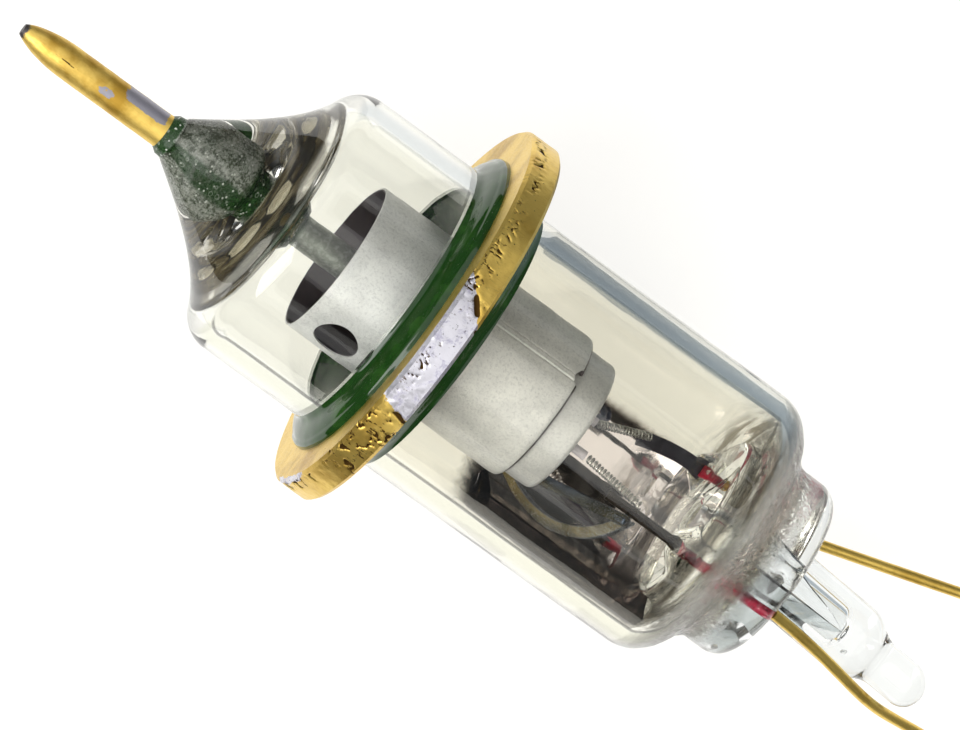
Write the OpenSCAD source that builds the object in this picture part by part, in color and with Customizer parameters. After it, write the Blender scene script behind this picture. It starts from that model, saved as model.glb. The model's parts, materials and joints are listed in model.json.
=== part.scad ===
// Small two-electrode vacuum tube with a disc-seal cathode ring.
// Every piece is drawn on the tube's own axis: z runs from the leads towards the pin,
// z = 0 is the middle of the ring, x is the side that ends up on top and y goes across.
// lay_down() then turns the tube to the way it lies on a flat surface.

/* [Ring] */
// Outer radius of the cathode ring
ring_r = 9; // [8.9:0.05:9.1]
// Thickness of the ring's rim
ring_t = 1.5; // [1.4:0.05:1.6]
// Chamfer on the rim's two edges
ring_chamfer = 0.15; // [0.05:0.05:0.2]
// Thickness of the thin web inside the rim
web_t = 0.6; // [0.5:0.05:0.7]
// Radius where the rim steps down to the web
web_r = 5; // [4.9:0.05:5.1]

/* [Glass] */
// Outer radius of both glass cylinders
glass_r = 6.35; // [6.3:0.05:6.4]
// Wall of the glass cylinders
glass_wall = 0.95; // [0.9:0.05:1]
// Height of the clear glass cone's tip above the ring
cone_tip_z = 12.75; // [12.7:0.05:12.8]
// Height of the ceiling of the upper chamber
ceiling_z = 6.6; // [6.5:0.05:6.7]
// Distance from the ring to the middle of the bulb's round shoulder
shoulder_z = 14.6; // [14.5:0.05:14.7]
// Radius of the bulb's round shoulder
shoulder_arc = 2; // [1.95:0.05:2.05]
// Distance from the ring to the flat end of the stem
stem_end_z = 19.2; // [19.1:0.05:19.3]
// Outer radius of the stem's button
button_r = 4.3; // [4.25:0.05:4.35]

/* [Green seals] */
// Outer radius of the upper seal on the ring
upper_seal_r = 7.4; // [7.3:0.05:7.5]
// Height where the upper seal meets the clear glass
upper_seal_z = 2.05; // [2:0.05:2.1]
// Outer radius of the lower seal on the ring
lower_seal_r = 6.9; // [6.8:0.05:7]
// Distance from the ring's middle to the end of the lower seal
lower_seal_z = 2.1; // [2:0.05:2.2]

/* [Pin] */
// Radius of the anode pin outside the glass
pin_r = 0.76; // [0.75:0.01:0.77]
// Radius of the rod inside the glass
rod_r = 0.73; // [0.72:0.01:0.74]
// Height of the pin's blunt tip above the ring
pin_tip_z = 20.6; // [20.4:0.1:20.8]
// Radius of the pin's blunt tip
pin_tip_r = 0.26; // [0.22:0.01:0.3]
// Length of the pin's rounded end
pin_nose = 1.7; // [1.5:0.1:1.9]

/* [Electrodes] */
// Sheet thickness of the nickel shields
sheet = 0.12; // [0.1:0.01:0.14]
// Outer radius of the upper shield and the lower skirt
shield_r = 3.52; // [3.5:0.01:3.54]
// Height of the upper shield's open mouth
shield_top_z = 4.35; // [4.3:0.05:4.4]
// Radius of the round hole in the upper shield's side
shield_hole_r = 1; // [0.9:0.05:1.1]
// Distance from the ring to the lower skirt's rounded edge
skirt_end_z = 6.65; // [6.6:0.05:6.7]
// Outer radius of the heater can
can_r = 3.12; // [3.1:0.01:3.14]
// Distance from the ring to the heater can's end
can_end_z = 8.1; // [8:0.05:8.2]
// Outer radius of the cathode cup
cathode_r = 1.7; // [1.6:0.05:1.8]
// Height of the cathode's flat face
cathode_face_z = 0.9; // [0.8:0.05:1]
// Gap between the cathode's face and the anode disc
electrode_gap = 0.25; // [0.2:0.05:0.3]

/* [Heater and leads] */
// Radius of the coated heater wire
coat_r = 0.22; // [0.2:0.01:0.24]
// Middle radius of the bare coiled tails
coil_r = 0.15; // [0.14:0.01:0.16]
// Radius of the bare heater wire
wire_r = 0.045; // [0.04:0.005:0.05]
// Radius of the outside leads
lead_r = 0.25; // [0.24:0.01:0.26]
// Radius of the circle on which the two leads stand
lead_pitch_r = 3.1; // [3.05:0.05:3.15]

/* [Hidden] */
$fn = 96;
EPS = 0.01;

// Profile of the clear glass cone: one cubic curve from the tip to the round top shoulder
top_shoulder_arc = 1.4;
top_shoulder = [glass_r - top_shoulder_arc, 6.58];
CONE_JOIN = 65;
cone_end = top_shoulder + top_shoulder_arc * [cos(CONE_JOIN), sin(CONE_JOIN)];
CONE_CURVE = [[1.03, cone_tip_z], [1.89, 11.52],
    cone_end - 2.2 * [sin(CONE_JOIN), -cos(CONE_JOIN)], cone_end];
CONE_STEPS = 18;

// Outside of the green bead, from the chamber's ceiling up to the cone's tip
BEAD_OUTLINE = concat([[0.88, ceiling_z]],
    curve([[0.88, 8], [0.9, 8.5], [1.38, 8.3], [1.38, 9]], 8),
    curve([[1.38, 11], [1.38, 11.6], [1, 12], [0.95, 12.6]], 6));

// Places of the two heater leads round the stem, as angles from the tube's upper side
LEAD_A_ANGLE = 145;
LEAD_B_ANGLE = -24;
function on_pitch(angle, z) = [lead_pitch_r * cos(angle), lead_pitch_r * sin(angle), z];

// The stem's inner floor, the glass mounds round the two wires and where the wires' red part begins
floor_z = -14.4;
mound_r = 1;
mound_z = -14.7;
wire_top_z = -14.3;
bore_r = 0.7;

// End of the green bead round the pin's root, and the stretch in it where the rod widens to the pin
bead_top_z = 13.3;
rod_taper = 0.8;

// Heater legs where they leave the can, and where each coiled tail ends
LEG_A = [-0.6, 0.75, -8.95];
LEG_B = [0.6, -0.6, -9.15];
TAIL_A = [-1.757, 1.6, -11.4];
TAIL_B = [2.703, -0.881, -11.9];
leg_top_z = -0.6;
tail_gap_a = 0.035;
tail_gap_b = 0.137;
COIL_SEGMENTS = 10;
COIL_SIDES = 6;

// Getter: ends of the flat strap, and the bow of the channel strip that it closes
GETTER_FOOT = [2.85, -1.68, -11.9];
GETTER_FAR = [-3.7, -3, -6.95];
GETTER_BULGE = [-0.35, -1, 0];
getter_half = norm(GETTER_FAR - GETTER_FOOT) / 2;
getter_rise = 1.8;
getter_r = (pow(getter_half, 2) + pow(getter_rise, 2)) / (2 * getter_rise);
getter_half_angle = asin(getter_half / getter_r);
getter_width = 0.5;

// The tube rests on the ring's lower edge and on the bulb's shoulder. The angle comes from the
// line that touches the edge's corner and the shoulder's arc.
corner_z = -(ring_t / 2 - ring_chamfer);
arc_middle_r = glass_r - shoulder_arc;
run = shoulder_z + corner_z;
fall = ring_r - arc_middle_r;
tilt = acos(shoulder_arc / norm([run, fall])) - atan2(run, fall);
axis_h = ring_r * cos(tilt) - corner_z * sin(tilt);

// Leads outside the glass: heading across the surface, slope down to it, outward turn on it and
// straight last stretch. Their ends are spread so that the tube can't roll.
LEAD_A_HEADING = 17;
LEAD_A_SLOPE = tilt;
LEAD_A_TURN = 20;
LEAD_A_REST = 3.2;
LEAD_B_HEADING = -3;
LEAD_B_SLOPE = 34;
LEAD_B_TURN = -60;
LEAD_B_REST = 5.4;
lead_bend_r = 3;
lead_landing = 0.6;

// The origin is on the surface, under the middle of the whole length
pin_reach = pin_tip_z * cos(tilt) + pin_tip_r * sin(tilt);
lead_b_start = laid(on_pitch(LEAD_B_ANGLE, -stem_end_z), 0);
lead_b_last = LEAD_B_HEADING + LEAD_B_TURN;
lead_b_reach = lead_b_start.x
    + (lead_run(lead_b_start.z, LEAD_B_SLOPE) + lead_landing) * cos(LEAD_B_HEADING)
    + lead_bend_r * (sin(LEAD_B_HEADING) - sin(lead_b_last))
    + LEAD_B_REST * cos(lead_b_last) - lead_r * sin(lead_b_last);
ring_x = (pin_reach - lead_b_reach) / 2;

// A point of the tube's own axes in the frame of the surface, the ring's middle being at x = shift
function laid(p, shift) = [
    shift - p.z * cos(tilt) + p.x * sin(tilt),
    p.y,
    axis_h + p.z * sin(tilt) + p.x * cos(tilt)];

// Sloping length of a lead that starts at height h, and how far along its heading it lies flat
function lead_fall(h, slope) = (h - lead_r - lead_bend_r * (1 - cos(slope))) / sin(slope);
function lead_run(h, slope) = lead_fall(h, slope) * cos(slope) + lead_bend_r * sin(slope);

// Cubic curve through four control points, as steps + 1 points
function curve_point(c, t) =
    pow(1 - t, 3) * c[0] + 3 * pow(1 - t, 2) * t * c[1] + 3 * (1 - t) * t * t * c[2] + pow(t, 3) * c[3];
function curve(c, steps) = [for (i = [0 : steps]) curve_point(c, i / steps)];

// Points of an arc round c from angle a to angle b
function arc(c, r, a, b, steps = 8) =
    [for (i = [0 : steps]) let (t = a + (b - a) * i / steps) c + r * [cos(t), sin(t)]];

function unit(v) = v / norm(v);

// Moves its children to point p with their z axis along d and their x axis near hint
module placed(p, d, hint = [1, 0, 0]) {
    z = unit(d);
    y = unit(cross(z, hint));
    x = cross(y, z);
    multmatrix([
        [x.x, y.x, z.x, p.x],
        [x.y, y.y, z.y, p.y],
        [x.z, y.z, z.z, p.z],
        [0, 0, 0, 1]]) children();
}

module rod(p, q, r) {
    placed(p, q - p, [0.3, 1, 0.2]) cylinder(r = r, h = norm(q - p));
}

module lay_down() {
    translate([ring_x, 0, axis_h]) rotate([0, tilt - 90, 0]) children();
}

// Rectangle in a turned profile: from radius a to b and from height c to d
module band(a, b, c, d) {
    translate([a, c]) square([b - a, d - c]);
}

// Pin, made in one piece with the rod that carries the anode
module anode_pin() {
    rod_end_z = cathode_face_z + electrode_gap + sheet;
    nose = curve([[pin_r, pin_tip_z - pin_nose], [pin_r, pin_tip_z - 0.75 * pin_nose],
        [0.62, pin_tip_z - 0.25 * pin_nose], [pin_tip_r, pin_tip_z]], 10);
    color("gold") lay_down() rotate_extrude() polygon(concat(
        [[0, rod_end_z], [rod_r, rod_end_z], [rod_r, bead_top_z - rod_taper], [pin_r, bead_top_z]],
        nose,
        [[0, pin_tip_z]]));
}

// Green glass sleeve that seals the rod into the cone
module pin_bead() {
    color("darkgreen") lay_down() rotate_extrude() polygon(concat(
        [[rod_r, ceiling_z]], BEAD_OUTLINE,
        [CONE_CURVE[0], [0.98, 13.05], [0.8, bead_top_z], [pin_r, bead_top_z],
            [rod_r, bead_top_z - rod_taper]]));
}

// Clear top: a thick blown cone that runs into a cylinder
module top_glass() {
    inner_r = glass_r - glass_wall;
    corner = 0.7;
    color("lightcyan", 0.35) lay_down() rotate_extrude() polygon(concat(
        curve(CONE_CURVE, CONE_STEPS),
        arc(top_shoulder, top_shoulder_arc, CONE_JOIN - 5, 0),
        [[glass_r, upper_seal_z], [inner_r, upper_seal_z]],
        arc([inner_r - corner, ceiling_z - corner], corner, 0, 90),
        BEAD_OUTLINE));
}

// Anode: a small plate on the end of the rod, facing the cathode
module anode_disc() {
    color("dimgray") lay_down()
        translate([0, 0, cathode_face_z + electrode_gap]) cylinder(r = 1.35, h = sheet);
}

// Open nickel cylinder that stands on the ring's web, with one round hole in its side
module upper_shield() {
    foot_r = 4.2;
    hole_angle = -52;
    hole_z = 2.6;
    punch = 2;
    color("silver") lay_down() difference() {
        rotate_extrude() {
            band(shield_r - sheet, shield_r, web_t / 2, shield_top_z);
            band(shield_r - sheet, foot_r, web_t / 2, web_t / 2 + sheet);
        }
        translate([0, 0, hole_z]) rotate([0, 90, hole_angle])
            translate([0, 0, shield_r - punch / 2]) cylinder(r = shield_hole_r, h = punch);
    }
}

// Green glass that joins the clear top to the ring, flared on the outside and rounded inside
module upper_seal() {
    face_z = ring_t / 2;
    inner_r = glass_r - glass_wall;
    outside = curve([[glass_r, upper_seal_z], [6.4, 1.35], [6.95, 1.3], [upper_seal_r, face_z]], 10);
    inside = curve([[4.45, web_t / 2], [4.75, 1], [inner_r, 1.1], [inner_r, upper_seal_z]], 8);
    color("darkgreen") lay_down() rotate_extrude()
        polygon(concat(outside, [[web_r, face_z], [web_r, web_t / 2]], inside));
}

// Turned ring: a thick rim and a thin web with the cathode's hole
module cathode_ring() {
    half = ring_t / 2;
    color("goldenrod") lay_down() rotate_extrude() {
        polygon([[web_r, -half], [ring_r - ring_chamfer, -half], [ring_r, -half + ring_chamfer],
            [ring_r, half - ring_chamfer], [ring_r - ring_chamfer, half], [web_r, half]]);
        band(cathode_r + 0.6, web_r + EPS, -web_t / 2, web_t / 2);
    }
}

// Green glass lip that joins the bulb to the ring's other face
module lower_seal() {
    face_z = -ring_t / 2;
    inner_r = glass_r - glass_wall;
    outside = curve([[glass_r, -lower_seal_z], [glass_r + 0.02, -1.5], [6.6, -1.1],
        [lower_seal_r, face_z]], 8);
    color("darkgreen") lay_down() rotate_extrude()
        polygon(concat(outside, [[web_r, face_z], [inner_r - 0.1, -1.2], [inner_r, -lower_seal_z]]));
}

// Drawn nickel skirt under the web; its rounded lower edge is turned in against the heater can
module lower_skirt() {
    foot_r = 4.2;
    edge = 0.35;
    bend = [shield_r - edge, -skirt_end_z + edge];
    color("silver") lay_down() rotate_extrude() polygon(concat(
        [[foot_r, -web_t / 2], [foot_r, -web_t / 2 - sheet], [shield_r, -web_t / 2 - sheet]],
        arc(bend, edge, 0, -90),
        [[can_r, -skirt_end_z], [can_r, -skirt_end_z + sheet]],
        arc(bend, edge - sheet, -90, 0),
        [[shield_r - sheet, -web_t / 2]]));
}

// Cathode: a deep nickel cup with its flat face towards the anode and a flange inside the can
module cathode_cup() {
    flange_z = -4.4;
    wall = 0.08;
    color("lightgray") lay_down() rotate_extrude() {
        band(0, cathode_r, cathode_face_z - wall, cathode_face_z);
        band(cathode_r - wall, cathode_r, flange_z, cathode_face_z);
        band(cathode_r - wall, can_r - sheet, flange_z, flange_z + wall);
    }
}

// Heater can: a drawn cup with a rounded edge and a hole for the heater's two legs
module heater_can() {
    edge = 0.25;
    leg_hole_r = 1.5;
    top_z = -3.2;
    bend = [can_r - edge, -can_end_z + edge];
    color("gray") lay_down() rotate_extrude() polygon(concat(
        [[can_r - sheet, top_z], [can_r, top_z]],
        arc(bend, edge, 0, -90),
        [[leg_hole_r, -can_end_z], [leg_hole_r, -can_end_z + sheet]],
        arc(bend, edge - sheet, -90, 0)));
}

// White coated hairpin of the heater
module heater() {
    top_a = [LEG_A.x, LEG_A.y, leg_top_z];
    top_b = [LEG_B.x, LEG_B.y, leg_top_z];
    color("white") lay_down() {
        rod(LEG_A, top_a, coat_r);
        rod(LEG_B, top_b, coat_r);
        rod(top_a, top_b, coat_r);
        for (corner = [top_a, top_b])
            translate(corner) sphere(coat_r + 0.02);
    }
}

// Close-wound bare tail of the heater wire from p to q, as one swept helix
module coil(p, q, turns) {
    length = norm(q - p);
    rings = turns * COIL_SEGMENTS;
    points = [for (i = [0 : rings], k = [0 : COIL_SIDES - 1])
        let (a = 360 * i / COIL_SEGMENTS, b = 360 * k / COIL_SIDES, r = coil_r + wire_r * cos(b))
            [r * cos(a), r * sin(a), length * i / rings + wire_r * sin(b)]];
    sides = [for (i = [0 : rings - 1], k = [0 : COIL_SIDES - 1])
        let (n = (k + 1) % COIL_SIDES, a = i * COIL_SIDES, b = a + COIL_SIDES)
            [a + k, b + k, b + n, a + n]];
    caps = [[for (k = [0 : COIL_SIDES - 1]) k],
        [for (k = [COIL_SIDES - 1 : -1 : 0]) rings * COIL_SIDES + k]];
    placed(p, q - p) polyhedron(points, concat(sides, caps));
}

module heater_coil_a() {
    color("gray") lay_down() coil(LEG_A - [0, 0, tail_gap_a], TAIL_A, 17);
}

module heater_coil_b() {
    color("gray") lay_down() coil(LEG_B - [0, 0, tail_gap_b], TAIL_B, 18);
}

// Flat bowed ribbon between the first tail and its seal wire, cut off level at the wire's top
module ribbon_blank() {
    bow_r = 11.5;
    bow = 17;
    foot_bow = 1;
    width = 0.7;
    foot = on_pitch(LEAD_A_ANGLE, wire_top_z);
    difference() {
        placed(foot, [-1, 0, 0.19], [0.19, 0, 1]) translate([0, -bow_r, 0])
            rotate([0, 0, 90 - bow]) rotate_extrude(angle = bow + foot_bow)
                translate([bow_r - width / 2, -sheet / 2]) square([width, sheet]);
        translate(foot - [0, 0, 1]) cylinder(r = 1, h = 1);
    }
}

module heater_ribbon_a() {
    color("dimgray") lay_down() ribbon_blank();
}

// Straight flat post between the second tail and its seal wire, folded along one edge below the tail
module post_blank() {
    width = 0.55;
    fold = 0.2;
    top_z = -10.4;
    fold_top_z = -12.1;
    foot = on_pitch(LEAD_B_ANGLE, wire_top_z);
    placed(foot, [0, 0, 1], [1, 0.35, 0]) {
        translate([-sheet / 2, -width / 2, 0]) cube([sheet, width, top_z - foot.z]);
        translate([-fold, width / 2 - sheet, 0]) cube([fold, sheet, fold_top_z - foot.z]);
    }
}

module heater_post_b() {
    color("dimgray") lay_down() post_blank();
}

module getter_frame() {
    chord = GETTER_FAR - GETTER_FOOT;
    placed((GETTER_FOOT + GETTER_FAR) / 2, cross(chord, GETTER_BULGE), chord) children();
}

// Getter: an open bow of channel strip, open away from the bulb's upper side
module getter_channel() {
    depth = 0.34;
    wall = 0.09;
    color("gray") lay_down() getter_frame() translate([0, -(getter_r - getter_rise), 0])
        rotate([0, 0, 90 - getter_half_angle]) rotate_extrude(angle = 2 * getter_half_angle)
            translate([getter_r - getter_width, -depth]) difference() {
                square([getter_width, depth]);
                translate([wall, -wall]) square([getter_width - 2 * wall, depth]);
            }
}

// Flat strap across the back of the bow's two ends; its foot is cut to the post it is welded to
module getter_strap() {
    color("gray") lay_down() difference() {
        getter_frame() translate([-getter_half, -getter_width / 2, 0])
            cube([2 * getter_half, getter_width, sheet]);
        post_blank();
    }
}

// Blown bulb: a cylinder with a round shoulder that draws in to the stem's button
module bulb_glass() {
    inner_r = glass_r - glass_wall;
    corner = 1;
    waist_z = -17.2;
    color("lightcyan", 0.35) lay_down() rotate_extrude() polygon(concat(
        [[glass_r, -lower_seal_z]],
        arc([arc_middle_r, -shoulder_z], shoulder_arc, 0, -62, 12),
        [[button_r, waist_z], [button_r, floor_z]],
        arc([inner_r - corner, floor_z + corner], corner, -90, 0),
        [[inner_r, -lower_seal_z]]));
}

// Pressed stem: a thick button with a glass mound round each wire and the pumping hole
module button_stem() {
    edge = 1;
    color("lightcyan", 0.35) lay_down() difference() {
        union() {
            rotate_extrude() polygon(concat(
                [[bore_r, floor_z], [button_r, floor_z]],
                arc([button_r - edge, -stem_end_z + edge], edge, 0, -90),
                [[bore_r, -stem_end_z]]));
            for (angle = [LEAD_A_ANGLE, LEAD_B_ANGLE])
                translate(on_pitch(angle, mound_z)) sphere(mound_r);
        }
        for (angle = [LEAD_A_ANGLE, LEAD_B_ANGLE])
            translate(on_pitch(angle, -stem_end_z - EPS))
                cylinder(r = lead_r, h = wire_top_z + stem_end_z + EPS);
        ribbon_blank();
        post_blank();
    }
}

// Tipped-off pumping tube, drawn down to a narrow round end
module exhaust_tip() {
    wide_r = 1.62;
    narrow_r = 1;
    neck_z = -4.1;
    end_z = -7.9;
    bore_end_z = -3.6;
    lean = 4;
    color("lightcyan", 0.35) lay_down() difference() {
        translate([0, 0, -stem_end_z]) rotate([-lean, 0, 0]) rotate_extrude() polygon(concat(
            [[bore_r, 0.4], [wide_r + 0.1, 0.4]],
            curve([[wide_r, neck_z], [wide_r, neck_z - 0.7], [narrow_r + 0.1, neck_z - 0.8],
                [narrow_r, neck_z - 1.7]], 12),
            arc([0, end_z + narrow_r], narrow_r, 0, -90),
            arc([0, bore_end_z + bore_r], bore_r, -90, 0)));
        translate([0, 0, -stem_end_z]) cylinder(r = button_r, h = 2);
    }
}

// Copper-sheathed wires that carry the current through the stem's glass
module seal_wire(angle) {
    color("crimson") lay_down() translate(on_pitch(angle, -stem_end_z))
        cylinder(r = lead_r, h = wire_top_z + stem_end_z);
}

module seal_wire_a() {
    seal_wire(LEAD_A_ANGLE);
}

module seal_wire_b() {
    seal_wire(LEAD_B_ANGLE);
}

// Round bend of a lead in the x-y plane: it starts at the origin towards x and turns right
module lead_bend(angle) {
    translate([0, -lead_bend_r, 0]) rotate([0, 0, 90 - angle]) rotate_extrude(angle = angle)
        translate([lead_bend_r, 0]) circle(lead_r + EPS, $fn = 32);
}

// Straight stretch of a lead from the origin towards x, run a little into the bends at its ends
module lead_stretch(length, root = 2 * EPS) {
    rotate([0, 90, 0]) translate([0, 0, -root]) cylinder(r = lead_r, h = root + length + 2 * EPS);
}

// Outside lead: a slope from the stem's end down to the surface, a bend and a stretch that lies flat
module lead(angle, heading, slope, turn, rest) {
    start = laid(on_pitch(angle, -stem_end_z), ring_x);
    sloping = lead_fall(start.z, slope);
    root = 0.2;
    difference() {
        translate(start) rotate([0, 0, heading]) {
            rotate([0, slope, 0]) {
                lead_stretch(sloping, root);
                translate([sloping, 0, 0]) rotate([-90, 0, 0]) lead_bend(slope);
            }
            translate([lead_run(start.z, slope), 0, lead_r - start.z]) {
                lead_stretch(lead_landing);
                translate([lead_landing, 0, 0]) rotate([turn > 0 ? 180 : 0, 0, 0]) {
                    lead_bend(abs(turn));
                    translate(lead_bend_r * [sin(abs(turn)), cos(turn) - 1, 0])
                        rotate([0, 0, -abs(turn)]) lead_stretch(rest);
                }
            }
        }
        lay_down() translate([0, 0, -stem_end_z]) cylinder(r = button_r, h = 1);
    }
}

module lead_a() {
    color("goldenrod") lead(LEAD_A_ANGLE, LEAD_A_HEADING, LEAD_A_SLOPE, LEAD_A_TURN, LEAD_A_REST);
}

module lead_b() {
    color("goldenrod") lead(LEAD_B_ANGLE, LEAD_B_HEADING, LEAD_B_SLOPE, LEAD_B_TURN, LEAD_B_REST);
}

anode_pin();
pin_bead();
top_glass();
anode_disc();
upper_shield();
upper_seal();
cathode_ring();
lower_seal();
lower_skirt();
cathode_cup();
heater_can();
heater();
heater_coil_a();
heater_coil_b();
heater_ribbon_a();
heater_post_b();
getter_channel();
getter_strap();
bulb_glass();
button_stem();
exhaust_tip();
seal_wire_a();
seal_wire_b();
lead_a();
lead_b();
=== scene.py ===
"""Dresses a small disc-seal diode tube: worn gold, clear and green glass, nickel and a dark getter mirror."""

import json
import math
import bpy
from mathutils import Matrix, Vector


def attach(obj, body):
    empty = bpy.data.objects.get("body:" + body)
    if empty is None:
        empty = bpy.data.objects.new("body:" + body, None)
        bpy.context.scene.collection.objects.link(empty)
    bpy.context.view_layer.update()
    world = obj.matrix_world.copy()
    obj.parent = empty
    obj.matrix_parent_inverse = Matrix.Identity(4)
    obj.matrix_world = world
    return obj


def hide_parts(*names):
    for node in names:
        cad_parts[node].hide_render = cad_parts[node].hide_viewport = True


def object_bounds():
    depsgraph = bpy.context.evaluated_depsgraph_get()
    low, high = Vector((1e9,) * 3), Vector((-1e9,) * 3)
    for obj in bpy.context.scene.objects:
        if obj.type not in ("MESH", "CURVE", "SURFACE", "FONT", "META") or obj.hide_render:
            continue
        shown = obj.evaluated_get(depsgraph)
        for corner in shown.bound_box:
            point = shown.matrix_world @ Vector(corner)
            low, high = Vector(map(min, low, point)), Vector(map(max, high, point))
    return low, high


bl_info = {
    "name": "Disc-seal diode tube",
    "version": (1, 0, 0),
    "blender": (4, 5, 0),
    "location": "3D View > Sidebar > Diode tube",
    "description": "Builds the glass, metal and seals of a small diode tube round its packed solids",
    "category": "Object",
}

import bmesh
import bpy
import numpy as np
from bpy.props import FloatProperty, FloatVectorProperty
from mathutils import Matrix, Vector, noise

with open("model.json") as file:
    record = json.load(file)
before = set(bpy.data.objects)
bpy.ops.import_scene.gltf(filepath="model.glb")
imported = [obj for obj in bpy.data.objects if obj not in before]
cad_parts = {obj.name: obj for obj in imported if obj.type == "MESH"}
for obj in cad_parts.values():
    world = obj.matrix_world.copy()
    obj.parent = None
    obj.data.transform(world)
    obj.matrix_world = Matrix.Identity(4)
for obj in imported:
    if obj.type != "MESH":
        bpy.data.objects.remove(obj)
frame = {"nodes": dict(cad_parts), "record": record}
CAD_BOX = [list(corner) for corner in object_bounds()]

# The tube's own frame, in millimetres: z runs along the axis to the pin, z = 0 is the middle of the ring,
# x is the upper side and y goes across. The ring's mount gives its place in the world.
MM = 0.001
RIM_MOUNT = next(mount for mount in frame["record"]["mounts"] if mount["name"] == "cathode_rim")
RING_MIDDLE = Vector(RIM_MOUNT["pos_m"])
AXIS = Vector(RIM_MOUNT["axis"])
ACROSS = Vector((0, 1, 0))
TUBE = (
    Matrix.Translation(RING_MIDDLE)
    @ Matrix((ACROSS.cross(AXIS), ACROSS, AXIS)).transposed().to_4x4()
    @ Matrix.Scale(MM, 4)
)

# Places round the tube, in degrees from its upper side
LEAD_A_ANGLE = 145
LEAD_B_ANGLE = -24
SHIELD_HOLE_ANGLE = -52

# Height where the pin comes out of its bead
PIN_ROOT = 13.3

# How far the clear glass runs into the green seals
SEAL_LAP = 0.02

# Height where the stem's fused seam ends and its clear button begins
BUTTON_TOP = -17.2

# Height on the tube's axis at which the camera aims
TUBE_MIDDLE = -3.4

# How far the pumping tube leans sideways for each millimetre of its length
PUMP_LEAN = math.tan(math.radians(4))

# Steps along the sloping stretch of an outside lead
SLOPE_STEPS = 40


def length(name, description, millimetres):
    return FloatProperty(
        name=name, description=description, default=millimetres * MM, min=0, precision=5, unit="LENGTH"
    )


def colour(name, description, red, green, blue):
    return FloatVectorProperty(
        name=name, description=description, subtype="COLOR", size=3, min=0, max=1,
        default=[linear(part) for part in (red, green, blue)],
    )


def linear(part):
    """One part of a screen colour, from 0 to 255, as light."""
    part /= 255
    return part / 12.92 if part <= 0.04045 else ((part + 0.055) / 1.055) ** 2.4


class RingSettings(bpy.types.PropertyGroup):
    """Sizes and colours of the cathode ring"""

    radius: length("Radius", "Outer radius of the rim", 9)
    thickness: length("Thickness", "Thickness of the rim", 1.5)
    chamfer: length("Chamfer", "Chamfer on the rim's two edges", 0.15)
    web_radius: length("Web radius", "Radius where the rim steps down to the thin web", 5)
    web_thickness: length("Web thickness", "Thickness of the web inside the rim", 0.6)
    hole_radius: length("Hole", "Radius of the hole round the cathode", 2.3)
    pit_depth: length("Pit depth", "Depth of the deepest pits in the rim", 0.07)


class PlatingSettings(bpy.types.PropertyGroup):
    """Colours of the worn gold plating"""

    gold: colour("Gold", "Clean plating", 240, 206, 108)
    olive: colour("Olive", "Plating that has dulled", 190, 150, 58)
    brown: colour("Brown", "Dirt in pits and scratches", 74, 52, 18)
    silver: colour("Silver", "Metal that shows where the plating is rubbed off", 224, 222, 229)
    tip: colour("Tip", "Bare dark metal at the pin's end", 92, 88, 88)


class PinSettings(bpy.types.PropertyGroup):
    """Sizes of the anode pin and its rod"""

    radius: length("Radius", "Radius of the pin outside the glass", 0.76)
    rod_radius: length("Rod radius", "Radius of the rod inside the glass", 0.73)
    tip_height: length("Tip height", "Height of the pin's blunt tip above the ring", 20.6)
    tip_radius: length("Tip radius", "Radius of the blunt tip", 0.26)
    nose: length("Nose", "Length of the rounded end", 2.3)


class GlassSettings(bpy.types.PropertyGroup):
    """Sizes and colour of the clear glass"""

    radius: length("Radius", "Outer radius of both glass cylinders", 6.35)
    wall: length("Wall", "Wall of the glass cylinders", 0.85)
    cone_tip: length("Cone tip", "Height of the cone's tip above the ring", 12.75)
    ceiling: length("Ceiling", "Height of the upper chamber's ceiling", 6.6)
    shoulder: length("Shoulder", "Distance from the ring to the middle of the bulb's round shoulder", 14.6)
    shoulder_arc: length("Shoulder arc", "Radius of the bulb's round shoulder", 2)
    floor: length("Floor", "Distance from the ring to the stem's inner floor", 14.4)
    stem_end: length("Stem end", "Distance from the ring to the stem's flat end", 19.2)
    button_radius: length("Button radius", "Outer radius of the stem's button", 4.3)
    bore: length("Bore", "Radius of the pumping hole", 0.7)
    tint: colour("Tint", "Colour of light that has passed through the top", 250, 250, 244)
    bulb_tint: colour("Bulb tint", "Colour of light that has passed through the bulb", 251, 249, 239)
    # Painted shade: the glass is painted with this colour where it is seen edge-on.
    edge: colour("Edge", "Darker colour that the glass shows at its edges", 150, 156, 146)


class SealSettings(bpy.types.PropertyGroup):
    """Sizes and colours of the green sealing glass"""

    upper_radius: length("Upper radius", "Outer radius of the upper seal on the ring", 7.4)
    upper_height: length("Upper height", "Height where the upper seal meets the clear glass", 1.7)
    lower_radius: length("Lower radius", "Outer radius of the lower seal on the ring", 6.9)
    lower_height: length("Lower height", "Distance from the ring's middle to the end of the lower seal", 1.75)
    green: colour("Green", "Dark green glass", 20, 52, 12)
    leaf: colour("Leaf", "Lighter green glass where it is thin", 46, 84, 30)
    ash: colour("Ash", "Grey glass full of small bubbles", 150, 154, 144)


class ShieldSettings(bpy.types.PropertyGroup):
    """Sizes and colour of the nickel pieces"""

    sheet: length("Sheet", "Sheet thickness", 0.12)
    radius: length("Radius", "Outer radius of the upper shield and the lower skirt", 3.52)
    mouth: length("Mouth", "Height of the upper shield's open mouth", 4.35)
    hole_radius: length("Hole radius", "Radius of the round hole in the upper shield", 1)
    hole_height: length("Hole height", "Height of the round hole's middle", 2.6)
    skirt_end: length("Skirt end", "Distance from the ring to the skirt's rounded edge", 6.65)
    can_radius: length("Can radius", "Outer radius of the heater can", 3.12)
    can_end: length("Can end", "Distance from the ring to the heater can's end", 8.1)
    nickel: colour("Nickel", "Matt, fine-grained nickel", 228, 229, 231)
    shade: colour("Shade", "Duller nickel with a dark tint", 158, 159, 164)


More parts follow.
